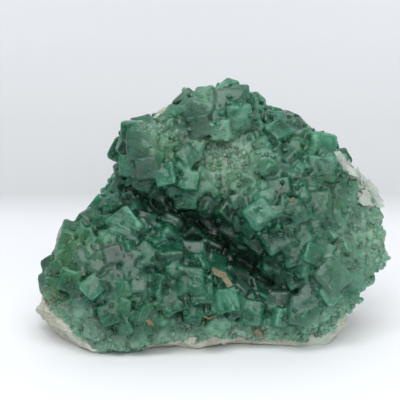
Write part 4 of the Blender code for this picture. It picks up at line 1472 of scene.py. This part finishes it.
def roughen(shape, look):
    """Crumbles and breaks the rock, all but its foot, where the relief fades out."""
    noise.seed_set(ROCK_SEED)
    bmesh.ops.triangulate(shape, faces=shape.faces)
    shape.normal_update()
    for vertex in shape.verts:
        if vertex.co.z < FLAT_FOOT * MM:
            continue
        lift = min(1.0, vertex.co.z / (FOOT_FADE * MM))
        u, v = on_face(vertex.co / MM)
        behind = face_height(u, v) - (vertex.co / MM + ORIGIN).dot(OUTWARD)
        hidden = min(1.0, max(0.0, (behind - FACETS_FROM) / FACETS_FADE))
        shift = rock_crumble(vertex.co, look) - broken_facets(vertex.co, look) * hidden
        vertex.co += vertex.normal * shift * lift
    shape.normal_update()


def colour_setting(name, description, default):
    return bpy.props.FloatVectorProperty(
        name=name, description=description, default=default, subtype="COLOR", min=0, max=1,
    )


def length_setting(name, description, default):
    return bpy.props.FloatProperty(
        name=name, description=description, default=default, min=0, unit="LENGTH",
    )


def share_setting(name, description, default):
    return bpy.props.FloatProperty(
        name=name, description=description, default=default, min=0, max=1, subtype="FACTOR",
    )


def number_setting(name, description, default, **more):
    return bpy.props.FloatProperty(name=name, description=description, default=default, min=0, **more)


def count_setting(name, description, default):
    return bpy.props.IntProperty(name=name, description=description, default=default, min=0)


class CrystalLook(bpy.types.PropertyGroup):
    """Sizes and colours of the fluorite."""

    softening: share_setting(
        "Edge Softening", "Width of the softened edges, as a share of the crystal", 0.15)
    fullness: number_setting(
        "Fullness", "Size of the large crystals, as a share of the solid model's", 1.1)
    stepped_edge: number_setting(
        "Stepped From", "Crystals with this edge or more, in mm, carry steps", 7.5)
    small_edge: length_setting(
        "Small Crystals", "Edge of the small crystals between the large ones", 0.0040)
    middling_count: count_setting(
        "Middling Crystal Count", "How many middling crystals fill the widest gaps", 90)
    small_count: count_setting(
        "Small Crystal Count", "How many small crystals sit between the others", 330)
    fine_edge: length_setting("Finest Crystals", "Edge of the finest crystals in the clefts", 0.0017)
    fine_density: number_setting(
        "Finest Crystal Density", "Finest crystals per square metre of cleft", 170000.0)
    seed: count_setting("Seed", "Start of the random draws for the small crystals", 5)
    ior: number_setting("IOR", "Refractive index of fluorite", 1.434)
    transmission: share_setting("Clearness", "How much light passes through a crystal", 0.62)
    cloudiness: share_setting("Cloudiness", "How much light scatters just under the faces", 0.6)
    absorption: number_setting(
        "Absorption", "How fast the green deepens with thickness, per metre", 150.0)
    glow: colour_setting(
        "Through Light", "Colour of light that has passed through a crystal", (0.05, 0.60, 0.38))
    roughness: share_setting("Face Roughness", "Mean roughness of the crystal faces", 0.16)
    deep_green: colour_setting("Deep Green", "Darkest green of a crystal", (0.012, 0.070, 0.038))
    mid_green: colour_setting("Green", "Usual green of a crystal", (0.030, 0.215, 0.120))
    mint_green: colour_setting("Mint", "Green of the cloudy zones", (0.130, 0.500, 0.320))
    # The palest green also takes the painted highlight along the crystal edges
    pale_mint: colour_setting("Pale Mint", "Palest green, on edges and veils", (0.400, 0.830, 0.620))
    warm_green: colour_setting("Warm Green", "Yellowish green of a few patches", (0.18, 0.42, 0.17))
    pale_ground: colour_setting(
        "Pale Patches", "Colour of the pale, fine-grained patches", (0.56, 0.92, 0.67))
    # Painted sky reflection: a greyish green on the crystals that mirror the sky
    painted_sky_reflection: colour_setting(
        "Misty Green", "Greyish green of the crystals that mirror the sky", (0.150, 0.250, 0.205))
    # Painted shade laid into the clefts between the crystals
    cleft_painted_shade: colour_setting("Clefts", "Colour deep between the crystals", (0.020, 0.056, 0.038))


class RockLook(bpy.types.PropertyGroup):
    """Sizes and colours of the host rock."""

    lump_size: length_setting("Lump Size", "Size of the broken lumps of the rock", 0.011)
    lump_height: length_setting("Lump Height", "Height of the broken lumps of the rock", 0.0027)
    facet_size: length_setting("Facet Size", "Size of the broken facets of the rock's back", 0.034)
    facet_depth: length_setting("Facet Depth", "Depth of the ledges between the facets", 0.0042)
    grain_size: length_setting("Quartz Grains", "Size of the quartz grains on the bare rim", 0.0019)
    grain_density: number_setting(
        "Grain Density", "Quartz grains per square metre of bare rim", 90000.0)
    grain_clearness: share_setting("Grain Clearness", "How much light passes through a grain", 0.3)
    plate_clearness: share_setting("Blade Clearness", "How much light passes through a blade", 0.5)
    cream: colour_setting("Cream", "Main colour of the rock", (0.57, 0.56, 0.44))
    white_rock: colour_setting("White", "Colour of the white grains", (0.75, 0.76, 0.69))
    dim_rock: colour_setting("Dim", "Colour of the greyish grains", (0.33, 0.33, 0.25))
    milk_green: colour_setting(
        "Milky Green", "Green that shows through the milky quartz", (0.68, 0.79, 0.70))
    tan_stain: colour_setting("Stain", "Colour of the rusty stains", (0.170, 0.150, 0.085))
    khaki: colour_setting("Khaki", "Colour of the pale side of the splinters", (0.30, 0.29, 0.17))
    # Brown of the specks, also laid into the rock's clefts as painted shade
    brown_speck_and_cleft_shade: colour_setting("Specks", "Colour of the dark specks and clefts", (0.070, 0.048, 0.028))


class StudioLook(bpy.types.PropertyGroup):
    """The plain pale studio."""

    backdrop: colour_setting("Backdrop", "Colour of the floor and the wall", (0.86, 0.875, 0.90))
    wall_distance: length_setting("Wall", "Distance of the wall behind the specimen", 0.28)
    sky: number_setting("Ambient Light", "Strength of the light from all round", 0.38)
    softbox: number_setting(
        "Softbox", "Power of the large light above the front", 6.0, unit="POWER")
    window: number_setting("Window", "Power of the wide light before the front", 9.5, unit="POWER")


class SPECIMEN_OT_crystal_crust(bpy.types.Operator):
    """Grow the crust of fused fluorite cubes"""

    bl_idname = "specimen.crystal_crust"
    bl_label = "Crystal Crust"

    def execute(self, context):
        look = context.scene.crystal_look
        base = crust_base_shape()
        raised = crust_base_shape(GROUND_RAISE)
        large, steps, small = all_crystals(base, raised, look)
        base.free()
        raised.free()
        random = Random(look.seed + 1)
        crystals = shape_crystals(large, steps, small, random, look)
        distance, owner, axes = grown_grid(crystals, GROUND_RAISE)
        carve(distance, axes)
        crust = to_object("fluorite_crystals", skin_of(distance, axes))
        crust.modifiers.new("fewer", "DECIMATE").ratio = FACES_KEPT
        rough = crust.data
        crust.data = settled(crust)
        crust.modifiers.clear()
        bpy.data.meshes.remove(rough)
        crust.data.shade_smooth()
        tones = crystal_tones(large, steps, small, random)
        dress_crust(crust.data, crystals, tones, distance, owner, axes)
        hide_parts("fluorite_crust")
        paint(crust, fluorite_material(look))
        return {"FINISHED"}


class SPECIMEN_OT_fine_crystals(bpy.types.Operator):
    """Sprinkle the finest crystals into the clefts and the pale patches"""

    bl_idname = "specimen.fine_crystals"
    bl_label = "Fine Crystals"

    def execute(self, context):
        look = context.scene.crystal_look
        made = scatter(
            "fine_crystals", bpy.data.objects["fluorite_crystals"], cube_template(),
            small_crystal_material(look), Density=look.fine_density, Smallest=look.fine_edge * 0.6,
            Largest=look.fine_edge * 1.5, Seed=FINE_SEED,
        )
        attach(made, BODY)
        return {"FINISHED"}


class SPECIMEN_OT_quartz_grains(bpy.types.Operator):
    """Grow quartz grains on the bare rim of the rock"""

    bl_idname = "specimen.quartz_grains"
    bl_label = "Quartz Grains"

    def execute(self, context):
        look = context.scene.rock_look
        made = scatter(
            "quartz_grains", bpy.data.objects["broken_rock"], quartz_template(),
            quartz_material(look, "milky_quartz", look.grain_clearness), Density=look.grain_density,
            Smallest=look.grain_size * 0.5, Largest=look.grain_size * 1.6, Seed=GRAIN_SEED,
        )
        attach(made, BODY)
        return {"FINISHED"}


class SPECIMEN_OT_rusty_chips(bpy.types.Operator):
    """Wedge rusty splinters of rock between the crystals"""

    bl_idname = "specimen.rusty_chips"
    bl_label = "Rusty Chips"

    def execute(self, context):
        look = context.scene.rock_look
        random = Random(CHIP_SEED)
        shape = bmesh.new()
        for u, v, length, width, roll, lift in RUSTY_CHIPS:
            spot, _ = front_hit(u, v)
            turn = FACE_AXES @ Matrix.Rotation(math.radians(roll), 3, "Z")
            turn = turn @ Matrix.Rotation(math.radians(random.uniform(-15, 15)), 3, "Y")
            sides = (length * MM, width * MM, width * 0.7 * MM)
            shard(shape, spot + OUTWARD * lift * MM, turn, sides, random)
        for u, v, spread, size, count in RUSTY_SPECKS:
            for _ in range(count):
                at_u, at_v = random.gauss(u, spread), random.gauss(v, spread)
                hit = front_hit(at_u, at_v)
                if hit is None:
                    continue
                spot, normal = hit
                turn = Matrix.Rotation(random.uniform(0, math.tau), 3, "X")
                turn = turn @ Matrix.Rotation(random.uniform(0, math.tau), 3, "Z")
                edge = size * random.uniform(0.5, 1.3) * MM
                shard(shape, spot + normal * edge * 0.1, turn, (edge, edge * 0.8, edge * 0.6), random, 9)
        chips = to_object("rusty_chips", shape)
        chips.data.shade_flat()
        paint(chips, chip_material(look))
        return {"FINISHED"}


class SPECIMEN_OT_white_blades(bpy.types.Operator):
    """Fan the white blades along the upper right edge"""

    bl_idname = "specimen.white_blades"
    bl_label = "White Blades"

    def execute(self, context):
        look = context.scene.rock_look
        random = Random(BLADE_SEED)
        shape = bmesh.new()
        for step in range(BLADE_COUNT):
            at = BLADE_START.lerp(BLADE_END, (step + random.uniform(0, 0.8)) / BLADE_COUNT)
            hit = None
            while hit is None:
                inward = random.uniform(0, 6)
                hit = front_hit(at.x - inward, at.y - inward * 0.7)
            spot = (hit[0] + hit[1] * random.uniform(-0.5, 1.5) * MM) / MM
            turn = FACE_AXES
            for axis, mean, spread in BLADE_TURNS:
                turn = turn @ Matrix.Rotation(math.radians(random.gauss(mean, spread)), 3, axis)
            sides = [random.uniform(*span) * MM for span in BLADE_SIDES]
            plate(shape, spot * MM, turn, sides, random)
        blades = to_object("white_blades", shape)
        blades.data.shade_flat()
        paint(blades, quartz_material(look, "clear_quartz", look.plate_clearness))
        return {"FINISHED"}


class SPECIMEN_OT_host_rock(bpy.types.Operator):
    """Break and grain the host rock's surface"""

    bl_idname = "specimen.host_rock"
    bl_label = "Host Rock"

    def execute(self, context):
        look = context.scene.rock_look
        rock = to_object("rough_rock", evenly_cut(merged_copy("host_rock")))
        finer = rock.modifiers.new("finer", "SUBSURF")
        finer.subdivision_type = "SIMPLE"
        finer.levels = finer.render_levels = 2
        shape = from_mesh(settled(rock))
        drop(rock)
        roughen(shape, look)
        open_share = openness(shape, BVHTree.FromBMesh(shape))
        rock = to_object("broken_rock", shape)
        mesh = rock.data
        mesh.shade_smooth()
        points = vertex_array(mesh, "co")
        u, v = face_places(points)
        behind = face_height(u, v) - (points / MM + np.array(ORIGIN)) @ np.array(OUTWARD)
        room = np.clip((GRAINS_END - behind) / GRAINS_FADE, 0, 1)
        for name, values in (
            ("stain", patch_strength(u, v, STAIN_PATCHES)),
            ("milk", patch_strength(u, v, MILKY_PATCHES)),
            ("open", open_share),
            ("room", room * (points[:, 2] > FLOOR_CLEARANCE * MM)),
        ):
            set_attribute(mesh, name, "FLOAT", "POINT", values)
        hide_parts("host_rock")
        paint(rock, rock_material(look))
        return {"FINISHED"}


class SPECIMEN_OT_studio(bpy.types.Operator):
    """Set the floor, the wall, the light and the camera"""

    bl_idname = "specimen.studio"
    bl_label = "Studio"

    def execute(self, context):
        look = context.scene.studio_look
        backdrop = to_object("backdrop", sweep_shape(look))
        backdrop.data.shade_smooth()
        material, nodes, shader = new_material("backdrop", look.backdrop)
        place_out = nodes.object_place()
        height = nodes.add("ShaderNodeSeparateXYZ", {"Vector": place_out}).outputs["Z"]
        shade = nodes.ramp(
            nodes.remap(height, 0.0, WALL_SHADE_HEIGHT), *((at, (tone,) * 3) for at, tone in WALL_SHADE)
        )
        colour = nodes.mix(1.0, look.backdrop, shade, "MULTIPLY")
        nodes.feed(shader.inputs["Base Color"], colour)
        shader.inputs["Roughness"].default_value = BACKDROP_ROUGHNESS
        clear_from_behind(nodes, shader)
        backdrop.data.materials.append(material)
        world = bpy.data.worlds.new("studio")
        world.use_nodes = True
        sky = world.node_tree.nodes["Background"]
        sky.inputs["Color"].default_value = (*SKY_COLOUR, 1)
        sky.inputs["Strength"].default_value = look.sky
        context.scene.world = world
        add_softbox("softbox", look.softbox, **SOFTBOX)
        add_softbox("window", look.window, **WINDOW)
        eye = bpy.data.cameras.new("camera")
        eye.lens = CAMERA_LENS
        eye.sensor_width = SENSOR_WIDTH
        camera = link_object("camera", eye)
        camera.matrix_world = Matrix.Translation(place(*CAMERA_SPOT) * MM) @ FACE_AXES.to_4x4()
        context.scene.camera = camera
        context.scene.view_settings.view_transform = "Standard"
        return {"FINISHED"}


class SPECIMEN_PT_pieces(bpy.types.Panel):
    """The specimen's pieces, in the order they are made"""

    bl_label = "Fluorite Specimen"
    bl_idname = "SPECIMEN_PT_pieces"
    bl_space_type = "VIEW_3D"
    bl_region_type = "UI"
    bl_category = "Specimen"

    def draw(self, context):
        for look in (context.scene.crystal_look, context.scene.rock_look, context.scene.studio_look):
            box = self.layout.box()
            for name in look.__annotations__:
                box.prop(look, name)
        for piece in PIECES:
            self.layout.operator(piece.bl_idname)


LOOKS = {"crystal_look": CrystalLook, "rock_look": RockLook, "studio_look": StudioLook}
PIECES = (
    SPECIMEN_OT_host_rock, SPECIMEN_OT_crystal_crust, SPECIMEN_OT_fine_crystals,
    SPECIMEN_OT_quartz_grains, SPECIMEN_OT_rusty_chips, SPECIMEN_OT_white_blades,
    SPECIMEN_OT_studio,
)


def register():
    for kind in (*LOOKS.values(), *PIECES, SPECIMEN_PT_pieces):
        bpy.utils.register_class(kind)
    for name, kind in LOOKS.items():
        setattr(bpy.types.Scene, name, bpy.props.PointerProperty(type=kind))


def unregister():
    for name in LOOKS:
        delattr(bpy.types.Scene, name)
    for kind in (SPECIMEN_PT_pieces, *reversed(PIECES), *LOOKS.values()):
        bpy.utils.unregister_class(kind)


def main():
    register()
    bpy.ops.specimen.host_rock()
    bpy.ops.specimen.crystal_crust()
    bpy.ops.specimen.fine_crystals()
    bpy.ops.specimen.quartz_grains()
    bpy.ops.specimen.rusty_chips()
    bpy.ops.specimen.white_blades()
    bpy.ops.specimen.studio()


if __name__ == "__main__":
    main()
